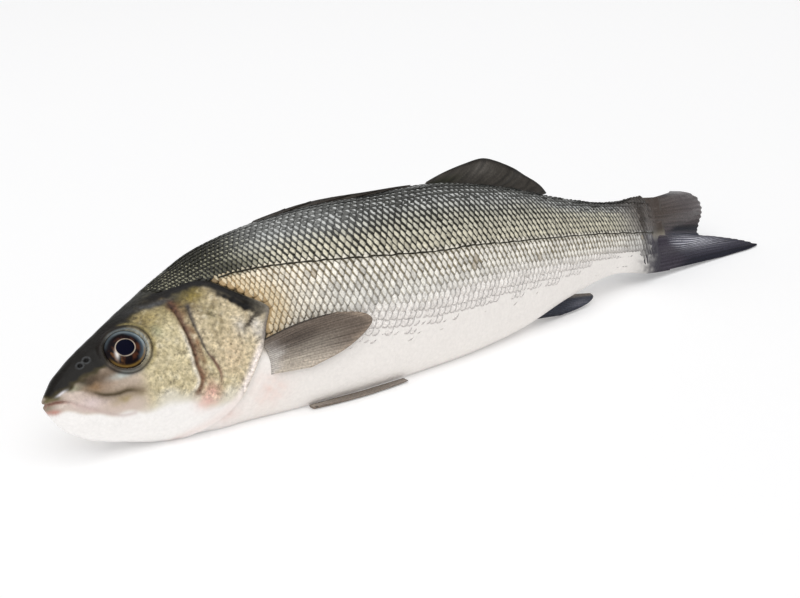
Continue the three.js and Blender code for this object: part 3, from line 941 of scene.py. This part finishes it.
def scale_seeds(side, draw):
    """Where every scale of one side sits, how it is turned and sized, and its colours."""
    station, angle, angle_ahead = scale_rows(side).T
    points, above = skin_points(side, station, angle)
    onward, _ = skin_points(side, station + look_ahead, angle_ahead)
    upward, _ = skin_points(side, station, angle + 0.02)
    rearward = unit(onward - points)
    outward = unit(np.cross(upward - points, rearward) * side)
    across = np.cross(outward, rearward)
    rearward = unit(rearward + across * draw.normal(0, 0.05, (len(station), 1)))
    shift = draw.normal(0, scale_scatter, (2, len(station), 1))
    points += rearward * shift[0] + across * shift[1]
    gill, gill_along = beside(gill_edge, station * length_mm, above * 1000)
    share = above / body_depth
    # Scales start behind the gill cover, and on the crown above it. None show in the fold
    # of bare skin by the pectoral fin.
    crown = (gill_along < 0.2) & (share > 0.335 + 0.1 * ease(0.2, 0.14, station))
    keep = (gill > 1.6) | crown
    keep &= points[:, 2] > 0.003
    keep &= station < last_scales + 0.012 * waver(points, 0.006, 33)
    highest, lowest, _, _ = section(station)
    level = (above - lowest) / (highest - lowest)
    keep &= level > lowest_scales
    keep &= ~((share < -0.1) & (gill > 0) & (gill < 13 + 2 * waver(points, 0.008, 31)))
    pale, dark, fill, stand = scale_colours(station, above, points, draw)
    stand = stand - 0.5 * ease(-0.02, -0.12, share) * ease(40, 15, gill)
    stand = np.clip(stand, 0.05, 1)
    tan = ease(13, 4, gill) * ~crown * ease(0.01, -0.01, share - lateral_height(station))
    dark = lay(dark, "b3976c", 0.8 * tan)
    pale = lay(pale, "d9c39a", 0.7 * tan)
    long = scale_overlap * scale_pitch(station) * draw.normal(1, 0.03, len(station))
    wide = 1.1 * row_pitch(station) * draw.normal(1, 0.03, len(station))
    tilt = scale_tilt * (0.25 + 0.75 * stand)[:, None]
    lifted = rearward * np.cos(tilt) + outward * np.sin(tilt)
    faced = outward * np.cos(tilt) - rearward * np.sin(tilt)
    seats = points - lifted * (0.6 * long)[:, None]
    sunk = ease(0.36, 0.2, level + 0.03 * waver(points, 0.012, 32))
    seats += outward * (scale_lift - scale_sinking * sunk)[:, None]
    seeds = {
        "points": seats, "outward": faced, "rearward": lifted,
        "measure": np.stack([long, wide, mix(0.00004, 0.0002, stand)], -1),
        "pale": pale, "dark": dark, "fill": fill, "station": station,
        "lean": np.full(len(station), 0.37 * -side)}
    return {key: value[keep] for key, value in seeds.items()}


def seed_object(name, seeds):
    """A cloud of points that carries each scale's directions, size and colours."""
    thing = mesh_object(name, seeds["points"], [])
    kept = {"FLOAT_VECTOR": ("outward", "rearward", "measure"),
            "FLOAT_COLOR": ("pale", "dark"), "FLOAT": ("fill", "lean")}
    for kind, keys in kept.items():
        for key in keys:
            store(thing.data, key, kind, seeds[key])
    return thing


horn, tree, shader = new_material("scale_horn", Metallic=0.08, Coat_Weight=0.15,
                                  Coat_Roughness=0.15, Specular_IOR_Level=0.25)
# A slanted lozenge in the middle of each scale is pale, and its free edge is dark.
across_scale = put(tree, "ShaderNodeUVMap", uv_map="scale_map")
centred = vector_maths(tree, "SUBTRACT", across_scale.outputs[0], pale_centre)
off_centre = put(tree, "ShaderNodeSeparateXYZ", {0: centred}).outputs
slanted = maths(tree, "MULTIPLY_ADD", off_centre["Y"], attribute(tree, "lean", "Fac"),
                off_centre["X"])
ruled = put(tree, "ShaderNodeCombineXYZ", {"X": slanted, "Y": off_centre["Y"]}).outputs[0]
spread = vector_maths(tree, "MULTIPLY", ruled, pale_sharpness)
corner = vector_maths(tree, "DOT_PRODUCT", vector_maths(tree, "ABSOLUTE", spread),
                      (0.5, 0.5, 0), result="Value")
reach = vector_maths(tree, "LENGTH", spread, result="Value")
lozenge = maths(tree, "MULTIPLY_ADD", reach, 0.5, corner)
share = maths(tree, "DIVIDE", lozenge, attribute(tree, "fill", "Fac"))
centre = put(tree, "ShaderNodeMapRange", {"Value": share, "From Min": 0.6, "From Max": 1.0,
                                          "To Min": 1.0, "To Max": 0.0},
             interpolation_type="SMOOTHSTEP")
blended = put(tree, "ShaderNodeMix", {"Factor": centre.outputs[0]}, data_type="RGBA")
tree.links.new(attribute(tree, "dark"), blended.inputs[6])
tree.links.new(attribute(tree, "pale"), blended.inputs[7])
mottled(tree, shader, blended.outputs[2], flecks=0.25, size=1400.0, gloss=0.2, bump=0.25,
        depth=0.0002)

one_scale = scale_shape()
for side, name in ((LEFT, "left"), (RIGHT, "right")):
    seeds = scale_seeds(side, np.random.default_rng(40 + side))
    for part, inside in (("front", seeds["station"] < 0.5), ("rear", seeds["station"] >= 0.5)):
        label = f"{name}_{part}_scales"
        chosen = {key: value[inside] for key, value in seeds.items()}
        scales = grown(seed_object(label + "_seeds", chosen), shingle, shingle_inputs,
                       (one_scale, horn), label)
        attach(scales, "root")
bpy.data.objects.remove(one_scale)

# Turns every edge of a wire mesh into a round rod whose radius comes with its points.
rods, rod_inputs, given, results = new_group(
    "rods", "GeometryNodeTree",
    [("Wires", "NodeSocketGeometry"), ("Sides", "NodeSocketInt"),
     ("Finish", "NodeSocketMaterial")], [("Mesh", "NodeSocketGeometry")])
wire = put(rods, "GeometryNodeMeshToCurve", {"Mesh": given["Wires"]})
outline = put(rods, "GeometryNodeCurvePrimitiveCircle", {"Resolution": given["Sides"],
                                                         "Radius": 1.0})
rod = put(rods, "GeometryNodeCurveToMesh",
          {"Curve": wire.outputs["Curve"], "Profile Curve": outline.outputs["Curve"],
           "Scale": named(rods, "radius", "FLOAT"), "Fill Caps": True})
close_tree(rods, rod.outputs["Mesh"], given, results)
rod_sides = 6


def ray_rods(name, paths, radii, finish):
    """Rods along paths, each path with its own list of radii."""
    points, edges, sizes = [], [], []
    for path, radius in zip(paths, radii):
        first = len(points)
        points += list(path)
        sizes += list(radius)
        edges += [(first + k, first + k + 1) for k in range(len(path) - 1)]
    wires = mesh_object(name + "_wires", points, [], edges)
    store(wires.data, "radius", "FLOAT", sizes)
    return grown(wires, rods, rod_inputs, (rod_sides, finish), name)


def ray_material(name, colour):
    material, tree, shader = new_material(name, Coat_Weight=0.15, Coat_Roughness=0.1,
                                          Specular_IOR_Level=0.2)
    solid = put(tree, "ShaderNodeRGB")
    solid.outputs[0].default_value = (*tint(colour), 1)
    mottled(tree, shader, solid.outputs[0], flecks=0.6, size=800.0, gloss=0.25, bump=0.2,
            depth=0.0002)
    return material


# The lateral line: a dark, slightly uneven thread of pores over the scales.
line_paths, line_sizes = [], []
for side in (LEFT, RIGHT):
    station = np.linspace(*line_span, 420)
    above = lateral_height(station) * body_depth
    path = flank(side, station, above)
    path = path + unit(flank(side, station, above, 0.001) - path) * line_lift
    path[:, 2] += 0.0003 * waver(path, 0.008, 41)
    line_paths.append(path)
    line_sizes.append(line_radius * (1 - 0.4 * station) * (1 + 0.35 * waver(path, 0.005, 42)))
pores = ray_rods("lateral_lines", line_paths, line_sizes, ray_material("pore_line", "2b271b"))
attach(pores, "root")

# ---- Eyes ---------------------------------------------------------------------------------
# A round eye with a flat bulging front: a black pupil in a thin bright ring, a dark iris,
# and a clear blue grey rim under the wet surface. It sits loose in its socket.

visible_eye_radius = 0.0088
eye_crown = 0.0026
eye_back = 0.003
pupil_radius = 0.455


def eye_paint(u, v):
    """Colours over the front of the eye: u to the rear and v up, both 1 at its rim."""
    spot = np.stack([u, v, 0 * u], -1)
    blot = waver(spot, 0.55, 51)
    fine = waver(spot, 0.2, 52)
    radius = np.hypot(u, v)
    lit = np.hypot(u + 0.02, (v - 0.01) * 1.06)
    paint = np.zeros((*np.shape(u), 3)) + tint("150f12")
    paint = lay(paint, "3b231b", ease(0.72, 0.55, lit) * ease(-0.4, 0.5, blot + fine))
    rust = ease(0.25, -0.2, v) * ease(-0.25, 0.15, u) * ease(0.82, 0.65, lit)
    paint = lay(paint, "54301f", 0.7 * rust * ease(-0.1, 0.7, blot - 0.5 * fine + 0.25))
    front = ease(-0.3, -0.5, u) * ease(0.35, 0.0, v) * ease(0.9, 0.7, radius)
    paint = wash(
        paint,
        ("6d4a2c", 0.7 * front * ease(-0.3, 0.4, fine)),
        ("46525c", 0.8 * ease(0.2, 0.5, u) * ease(0.6, 0.8, radius)))
    rearward = ease(-0.1, 0.8, 0.85 * u + 0.5 * v)
    paint = wash(
        paint,
        ("9aa6ac", mix(0.0, 0.95, rearward) * bell(radius - 0.9, 0.075)),
        ("4c565c", 0.7 * ease(0.2, 0.7, v) * bell(radius - 0.92, 0.1)),
        ("8a6c35", 0.7 * ease(0, -0.5, v) * bell(radius - 0.9, 0.05)),
        # painted glint: a white highlight at the front of the pupil, low down
        ("f1ece8", bell(u + 0.52, 0.1) * bell(v + 0.1 - 0.9 * (u + 0.5), 0.17)),
        ("17130f", ease(0.95, 1.0, radius)))
    ring = bell(lit - pupil_radius - 0.01, 0.022) * mix(0.5, 1, ease(-0.1, 0.5, np.abs(u - v)))
    paint = lay(paint, "cfc0ad", 0.9 * ring)
    return lay(paint, "020318", ease(pupil_radius, pupil_radius - 0.025, lit))


def eye_mesh(name, side):
    """A shallow dome that dips below the socket's rim, closed by a deeper back."""
    spokes, front_rings, back_rings = 128, 44, 10
    _, outward = eye_seat(side)
    top_point = flank(side, eye_station, eye_above) + eye_bulge * outward
    rear = unit(spine(eye_station + 0.01) - spine(eye_station))
    rear = unit(rear - outward * (rear @ outward))
    up = np.cross(rear, outward) * side
    profile = [(k / front_rings, -eye_crown * (k / front_rings) ** 2)
               for k in range(1, front_rings + 1)]
    for k in range(1, back_rings):
        bend = math.pi / 2 * k / back_rings
        profile.append((math.cos(bend), -eye_crown - eye_back * math.sin(bend)))
    radius, drop = np.array(profile).T
    turn = 2 * math.pi * np.arange(spokes) / spokes
    u, v = np.outer(radius, np.cos(turn)), np.outer(radius, np.sin(turn))
    points = top_point + visible_eye_radius * (u[..., None] * rear + v[..., None] * up)
    points = (points + drop[:, None, None] * outward).reshape(-1, 3)
    paint = eye_paint(u, v)
    paint[front_rings:] = tint("120f0d")
    faces = []
    for i in range(len(profile) - 1):
        for j in range(spokes):
            a, b = i * spokes + j, i * spokes + (j + 1) % spokes
            faces.append((a, a + spokes, b + spokes, b))
    points = list(points) + [top_point, top_point - (eye_crown + eye_back) * outward]
    last = (len(profile) - 1) * spokes
    for j in range(spokes):
        k = (j + 1) % spokes
        faces += [(len(points) - 2, j, k), (len(points) - 1, last + k, last + j)]
    if side == RIGHT:
        faces = [face[::-1] for face in faces]
    thing = mesh_object(name, points, faces)
    colours = list(paint.reshape(-1, 3)) + [tint("020318")] * 2
    store(thing.data, "paint", "FLOAT_COLOR", colours)
    return thing


wet_eye, tree, shader = new_material("wet_eye", Roughness=0.25, Specular_IOR_Level=0.03,
                                     Coat_Weight=0.015, Coat_Roughness=0.03)
grain = put(tree, "ShaderNodeTexNoise", {
    "Vector": put(tree, "ShaderNodeTexCoord").outputs["Object"], "Scale": 900.0, "Detail": 2.0})
gain = maths(tree, "MULTIPLY_ADD", grain.outputs[0], 0.5, 0.75)
tree.links.new(scaled(tree, attribute(tree, "paint"), gain), shader.inputs["Base Color"])
for side, name in ((LEFT, "left_eyeball"), (RIGHT, "right_eyeball")):
    eyeball = eye_mesh(name, side)
    eyeball.data.materials.append(wet_eye)
    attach(eyeball, "root")
    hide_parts(name.replace("ball", ""))

# ---- Fins ---------------------------------------------------------------------------------
# Every fin is a thin wet membrane stretched over bony rays that fan out from its root. The
# rays are round rods that taper and fork; the first dorsal fin's are stiff spines.

fin_thickness = 0.0015
clearance = 0.0003
ray_ridge = 0.00012
ray_steps = 26


def membrane(name, sheet, columns, rows, rays, paint, base=fin_thickness):
    """A thin closed plate over a sheet, ridged by its rays and painted across and along."""
    u, v = np.meshgrid(np.linspace(0, 1, columns + 1), np.linspace(0, 1, rows + 1),
                       indexing="ij")
    points = sheet(u, v)
    normal = unit(np.cross(np.gradient(points, axis=0), np.gradient(points, axis=1)))
    rib = 0.5 + 0.5 * np.cos(2 * np.pi * rays * u)
    thick = base * (0.32 - 0.2 * v) + ray_ridge * rib * (1 - 0.6 * v)
    layers = [points + normal * thick[..., None], points - normal * thick[..., None]]
    flat = np.concatenate([layer.reshape(-1, 3) for layer in layers])
    grid = np.arange(u.size).reshape(u.shape)
    faces = []
    a, b, c, d = grid[:-1, :-1], grid[1:, :-1], grid[1:, 1:], grid[:-1, 1:]
    faces += np.stack([a, b, c, d], -1).reshape(-1, 4).tolist()
    faces += (np.stack([a, d, c, b], -1).reshape(-1, 4) + u.size).tolist()
    border = np.concatenate([grid[:-1, 0], grid[-1, :-1], grid[:0:-1, -1], grid[0, :0:-1]])
    for k, p in enumerate(border):
        q = border[(k + 1) % len(border)]
        faces.append((int(q), int(p), int(p) + u.size, int(q) + u.size))
    thing = mesh_object(name, flat, faces)
    chart = thing.data.uv_layers.new(name="fin_map")
    uv = np.stack([u * rays, v], -1).reshape(-1, 2)
    for loop in thing.data.loops:
        chart.data[loop.index].uv = uv[loop.vertex_index % u.size]
    colours = paint(u, v).reshape(-1, 3)
    store(thing.data, "paint", "FLOAT_COLOR", np.concatenate([colours, colours]))
    thing.data.materials.append(fin_web)
    return thing


def fan_rays(sheet, rays, root_radius, tip_radius, fork_at=0.55, spread=0.22, reach=0.98):
    """Paths and radii of rays laid in a sheet, each forking once towards the edge."""
    paths, radii = [], []
    for k in range(rays):
        u = (k + 0.5) / rays
        v = np.linspace(0, reach, ray_steps)
        for hand in (-1, 1):
            swing = hand * spread / rays * np.maximum(v - fork_at, 0) / (1 - fork_at)
            first = 0 if hand < 0 else int(ray_steps * fork_at / reach)
            path = sheet(np.clip(u + swing, 0, 1), v)[first:]
            size = root_radius + (tip_radius - root_radius) * v[first:]
            paths.append(path)
            radii.append(size)
    return paths, radii


# The painted membrane, ribbed across and streaked along its rays.
fin_web, tree, shader = new_material("fin_web", Coat_Weight=0.15, Coat_Roughness=0.12,
                                     Specular_IOR_Level=0.2)
chart = put(tree, "ShaderNodeUVMap", uv_map="fin_map").outputs[0]
across_fin = put(tree, "ShaderNodeSeparateXYZ", {0: chart}).outputs["X"]
stretched = put(tree, "ShaderNodeMapping", {"Vector": chart, "Scale": (2.6, 1.6, 1)})
streaks = put(tree, "ShaderNodeTexNoise", {"Vector": stretched.outputs[0], "Scale": 1.0,
                                           "Detail": 4.0})
wave = maths(tree, "COSINE", maths(tree, "MULTIPLY", across_fin, 2 * math.pi))
ribs = maths(tree, "MULTIPLY_ADD", wave, 0.14, 0.2)
gain = maths(tree, "MULTIPLY_ADD", streaks.outputs[0], 1.6, ribs)
mottled(tree, shader, scaled(tree, attribute(tree, "paint"), gain), flecks=0.25, size=1100.0,
        gloss=0.25, bump=0.2, depth=0.0003)


def washed(*layers):
    """A painter for a membrane: a ground colour, then washes laid over it in turn."""
    ground, *coats = layers

    def paint(u, v):
        colours = np.zeros((*u.shape, 3)) + tint(ground)
        drift = waver(np.stack([3 * u, v, 0 * u], -1), 0.7, 61)
        return wash(colours, *[(colour, mask(u, v + 0.04 * drift)) for colour, mask in coats])
    return paint


def finish_fin(piece, node=None):
    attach(piece, "root")
    if node:
        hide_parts(node)


def soft_fin(name, node, sheet, columns, rows, rays, paint, bone,
             root_radius=0.0005, tip_radius=0.00018, base=fin_thickness):
    """A whole soft fin: its membrane, and its bony rays laid in it."""
    web = membrane(name + "_membrane", sheet, columns, rows, rays, paint, base)
    finish_fin(web, node)
    paths, radii = fan_rays(sheet, rays, root_radius, tip_radius)
    finish_fin(ray_rods(name + "_rays", paths, radii, bone))


def over_back(station):
    return section(station)[0] + clearance


def under_belly(station):
    return section(station)[1] - clearance


# The tail fin: two lobes, the upper one sagging away over the right side.
tail_rays = 21
tail_reach = through([[0, 0.041], [0.05, 0.05], [0.1, 0.0545], [0.18, 0.0535], [0.28, 0.047],
                      [0.4, 0.036], [0.5, 0.029], [0.62, 0.038], [0.78, 0.055], [0.9, 0.067],
                      [0.96, 0.071], [1, 0.063]])
tail_rise = through([[0, 0.262], [0.05, 0.245], [0.1, 0.212], [0.2, 0.14], [0.35, 0.05],
                     [0.5, -0.03], [0.65, -0.062], [0.8, -0.1], [0.95, -0.153], [1, -0.176]])
tail_root = 1.001
tail_overlap = 0.012


def tail_sheet(u, v):
    u, v = np.broadcast_arrays(u, v)
    outward = np.abs(u - 0.5) / 0.5
    upper = u < 0.5
    notch = 1 - 0.02 * (0.5 + 0.5 * np.cos(2 * np.pi * tail_rays * u)) * ease(0.6, 1, v)
    root_above = mix(section(1.0)[0], section(1.0)[1], u) * 0.985
    above = mix(root_above, body_depth * tail_rise(u), v ** 1.25)
    sag = np.where(upper, 0.3 * outward, -0.06 * outward) * body_depth
    station = tail_root - tail_overlap + (tail_reach(u) * notch + 0.0068) * v / standard_length
    fold = 0.0016 * np.sin(2 * np.pi * 2.5 * u + 1) * np.sin(np.pi * v) * ease(1, 0.5, outward)
    points = place(station, sag * v ** 1.6 + fold, above)
    points[..., 2] = np.maximum(points[..., 2], 0.0006)
    return points


tail_colours = washed(
    "4a4244",
    ("4f4643", lambda u, v: ease(0.45, 0.3, u) * ease(0.75, 0.3, v)),
    ("453b3b", lambda u, v: ease(0.42, 0.3, u) * ease(0.4, 0.8, v)),
    ("34323d", lambda u, v: ease(0.5, 0.6, u)),
    ("0f121b", lambda u, v: bell(u - 0.43, 0.05) * ease(0.3, 0.55, v)),
    ("1c2030", lambda u, v: bell(u - 0.52, 0.05) * ease(0.2, 0.5, v)),
    ("6c6c78", lambda u, v: 0.9 * bell(u - 0.68, 0.13) * bell(v - 0.6, 0.3)),
    # painted glints: bright streaks along the rays in the middle of the lower lobe
    ("e4e4ea", lambda u, v: ease(0.4, 0.9, np.sin(220 * u + 4 * np.sin(7 * v + 20 * u)))
     * bell(u - 0.66, 0.11) * bell(v - 0.6, 0.3)),
    ("1d1e2a", lambda u, v: ease(0.86, 0.96, u)),
    ("2b2326", lambda u, v: ease(0.06, 0.0, u)),
    ("4d443f", lambda u, v: ease(0.3, 0.15, v) * ease(0.55, 0.35, u)),
    ("3b3640", lambda u, v: ease(0.35, 0.2, v) * ease(0.5, 0.6, u)))
soft_fin("tail", "caudal_fin", tail_sheet, 190, 50, tail_rays, tail_colours,
         ray_material("tail_bone", "4f494c"))

# The second dorsal fin: soft rays that sweep back over their own base.
soft_fin_span = (0.585, 0.765)
soft_fin_height = 0.0132
soft_fin_sweep = 0.017
soft_rise = through([[0, 0.08], [0.15, 0.7], [0.3, 1], [0.6, 0.8], [0.85, 0.48], [1, 0.12]])
soft_back = through([[0, 0.2], [0.15, 0.9], [0.3, 1], [0.6, 0.9], [0.85, 0.65], [1, 0.45]])


def soft_fin_sheet(u, v):
    u, v = np.broadcast_arrays(u, v)
    bend = v + 0.12 * np.sin(np.pi * v)
    station = mix(*soft_fin_span, u) + soft_fin_sweep * soft_back(u) * bend / standard_length
    rise = soft_fin_height * soft_rise(u) * v - 0.0012 * (1 - v)
    wave = 0.0007 * np.sin(2 * np.pi * 3 * u) * v
    return place(station, 0.08 * rise * v + wave, over_back(station) + rise)


soft_colours = washed(
    "3a3631",
    ("25261a", lambda u, v: ease(0.35, 0.1, u) * ease(0.7, 0.2, v)),
    ("57534e", lambda u, v: 0.8 * bell(u - 0.35, 0.12) * bell(v - 0.6, 0.3)),
    ("231f1c", lambda u, v: ease(0.8, 0.97, v)))
soft_fin("soft_fin", "second_dorsal_fin", soft_fin_sheet, 130, 24, 13, soft_colours,
         ray_material("soft_bone", "55524c"))

# The first dorsal fin: eight spines folded flat into the groove of the back.
spiny_fin_span = (0.335, 0.56)
spiny_fin_height = 0.0019
spine_length = 0.026
spine_roots = (0.338, 0.5)


def spiny_fin_sheet(u, v):
    u, v = np.broadcast_arrays(u, v)
    station = mix(*spiny_fin_span, u) + 0.01 * v
    rise = spiny_fin_height * np.sin(np.pi * mix(0.1, 0.9, u))
    return place(station, 0.25 * rise * v * v, over_back(station) + rise * v - 0.001 * (1 - v))


spines = 8
spiny_colours = washed("4a443d", ("231e19", lambda u, v: ease(0.3, 0.9, v)))
spiny_fin = membrane("spiny_fin_membrane", spiny_fin_sheet, 96, 8, spines, spiny_colours)
finish_fin(spiny_fin, "first_dorsal_fin")
spine_paths, spine_sizes = [], []
for k in range(spines):
    t = np.linspace(0, 1, 16)
    root = mix(*spine_roots, k / (spines - 1))
    long = spine_length * math.sin(math.pi * mix(0.25, 0.8, k / (spines - 1))) / standard_length
    station = root + long * t
    tip = (root + long - spiny_fin_span[0]) / (spiny_fin_span[1] - spiny_fin_span[0])
    rise = spiny_fin_height * np.sin(np.pi * mix(0.1, 0.9, tip))
    height = over_back(station) - 0.001 + (0.001 + rise) * t
    spine_paths.append(place(station, 0.0004 * (-1) ** k, height))
    spine_sizes.append(0.0007 * (1 - 0.75 * t))
spine_bone = ray_material("spine_bone", "332c26")
finish_fin(ray_rods("spiny_fin_spines", spine_paths, spine_sizes, spine_bone))

# The anal fin, swept back under the tail. Where it meets the table it slides to the left.
anal_fin_span = (0.715, 0.8)
anal_fin_length = 0.033
anal_shape = through([[0, 0.72], [0.12, 0.9], [0.3, 1], [0.5, 0.97], [0.75, 0.8], [1, 0.5]])


def anal_fin_sheet(u, v):
    u, v = np.broadcast_arrays(u, v)
    root = mix(*anal_fin_span, u)
    ray = anal_fin_length * anal_shape(u)
    station = root + 0.95 * ray * v / standard_length
    drop = under_belly(root) + 0.03 * ray * v
    points = place(station, 0, np.minimum(drop, under_belly(station)) + 0.0015 * (1 - v))
    sunk = np.maximum(fin_thickness / 2 - points[..., 2], 0)
    points[..., 1] += LEFT * sunk
    points[..., 2] += sunk
    return points


anal_colours = washed(
    "2c303c",
    ("60616a", lambda u, v: 0.8 * bell(u - 0.5, 0.2) * bell(v - 0.75, 0.2)),
    ("7a7268", lambda u, v: 0.8 * ease(0.7, 0.95, u)),
    ("20242f", lambda u, v: ease(0.2, 0.0, u)))
soft_fin("anal_fin", "anal_fin", anal_fin_sheet, 110, 26, 11, anal_colours,
         ray_material("anal_bone", "43454f"))

# The pectoral fins, laid back along the flanks.
pectoral_root = (0.274, 0.278)
pectoral_root_height = (-0.05, -0.222)
pectoral_length = 0.051
pectoral_tips = through([[0, 0.73], [0.2, 0.92], [0.4, 0.98], [0.6, 0.87], [0.8, 0.66],
                         [1, 0.36]])
pectoral_drops = through([[0, -0.024], [0.2, -0.062], [0.4, -0.112], [0.6, -0.168],
                          [0.8, -0.22], [1, -0.252]])


def pectoral_sheet(side):
    raised = 0.1 if side == RIGHT else 0

    def sheet(u, v):
        u, v = np.broadcast_arrays(u, v)
        root = mix(*pectoral_root, u) + 0.004 * np.sin(np.pi * u)
        station = root + pectoral_length * pectoral_tips(u) * v / standard_length
        bow = 0.016 * np.sin(np.pi * v) * (1 - u)
        root_height = mix(*pectoral_root_height, u)
        above = (mix(root_height, pectoral_drops(u), v) + bow + raised) * body_depth
        lift = -0.0003 + 0.0022 * ease(0, 0.22, v) + 0.0012 * v * v
        return flank(side, station, above, lift)
    return sheet


pectoral_colours = washed(
    "6b5f55",
    ("8c8378", lambda u, v: ease(0.25, 0.6, u) * ease(0.9, 0.4, v)),
    ("c9bdae", lambda u, v: 0.85 * ease(0.55, 0.95, u)),
    ("bdb7b1", lambda u, v: 0.85 * ease(0.2, 0.04, v) * ease(0.05, 0.4, u)),
    ("4d443d", lambda u, v: 0.8 * bell(u - 0.3, 0.18) * bell(v - 0.3, 0.22)),
    ("2e2723", lambda u, v: ease(0.05, 0.0, u)),
    ("a08f7e", lambda u, v: 0.6 * ease(0.86, 1.0, v)))
pectoral_bone = ray_material("pectoral_bone", "7a6f66")
for side, name in ((LEFT, "left_pectoral"), (RIGHT, "right_pectoral")):
    soft_fin(name, name + "_fin", pectoral_sheet(side), 120, 44, 19, pectoral_colours,
             pectoral_bone, root_radius=0.0003, tip_radius=0.0001, base=0.0009)

# The pelvic fins, flat on the table beside the belly.
pelvic_start = 0.33
pelvic_length = 0.05
pelvic_widths = {LEFT: 0.0045, RIGHT: 0.011}


def level_edge(side, station, level):
    """Where the underside of a flank rises past a level above the table."""
    turned = np.arange(0, 1.5, 0.01)
    edges = []
    for s in np.ravel(station):
        across, above = around(s, 1.5 * math.pi + side * turned)
        points = place(s, across, above)
        edges.append(points[np.argmax(points[:, 2] >= level)])
    return np.array(edges).reshape(*np.shape(station), 3)


def pelvic_sheet(side):
    def sheet(u, v):
        u, v = np.broadcast_arrays(u, v)
        columns = np.unique(v)
        station = pelvic_start + pelvic_length * columns / standard_length
        line = level_edge(side, station, fin_thickness + clearance)
        edge = np.stack([np.interp(v, columns, line[:, k]) for k in range(3)], -1)
        spread = pelvic_widths[side] * mix(0.45, 1, np.sin(np.pi * mix(0.15, 0.8, v)))
        points = edge.copy()
        points[..., 1] += side * (clearance + spread * u)
        points[..., 2] = fin_thickness / 2
        return points
    return sheet


pelvic_colours = washed(
    "8f857c", ("a99f95", lambda u, v: ease(0.3, 0.05, v)),
    ("5f5750", lambda u, v: ease(0.15, 0.0, u)))
pelvic_bone = ray_material("pelvic_bone", "766a5f")
for side, name in ((LEFT, "left_pelvic"), (RIGHT, "right_pelvic")):
    soft_fin(name, name + "_fin", pelvic_sheet(side), 48, 40, 6, pelvic_colours, pelvic_bone,
             root_radius=0.0006, tip_radius=0.0002)
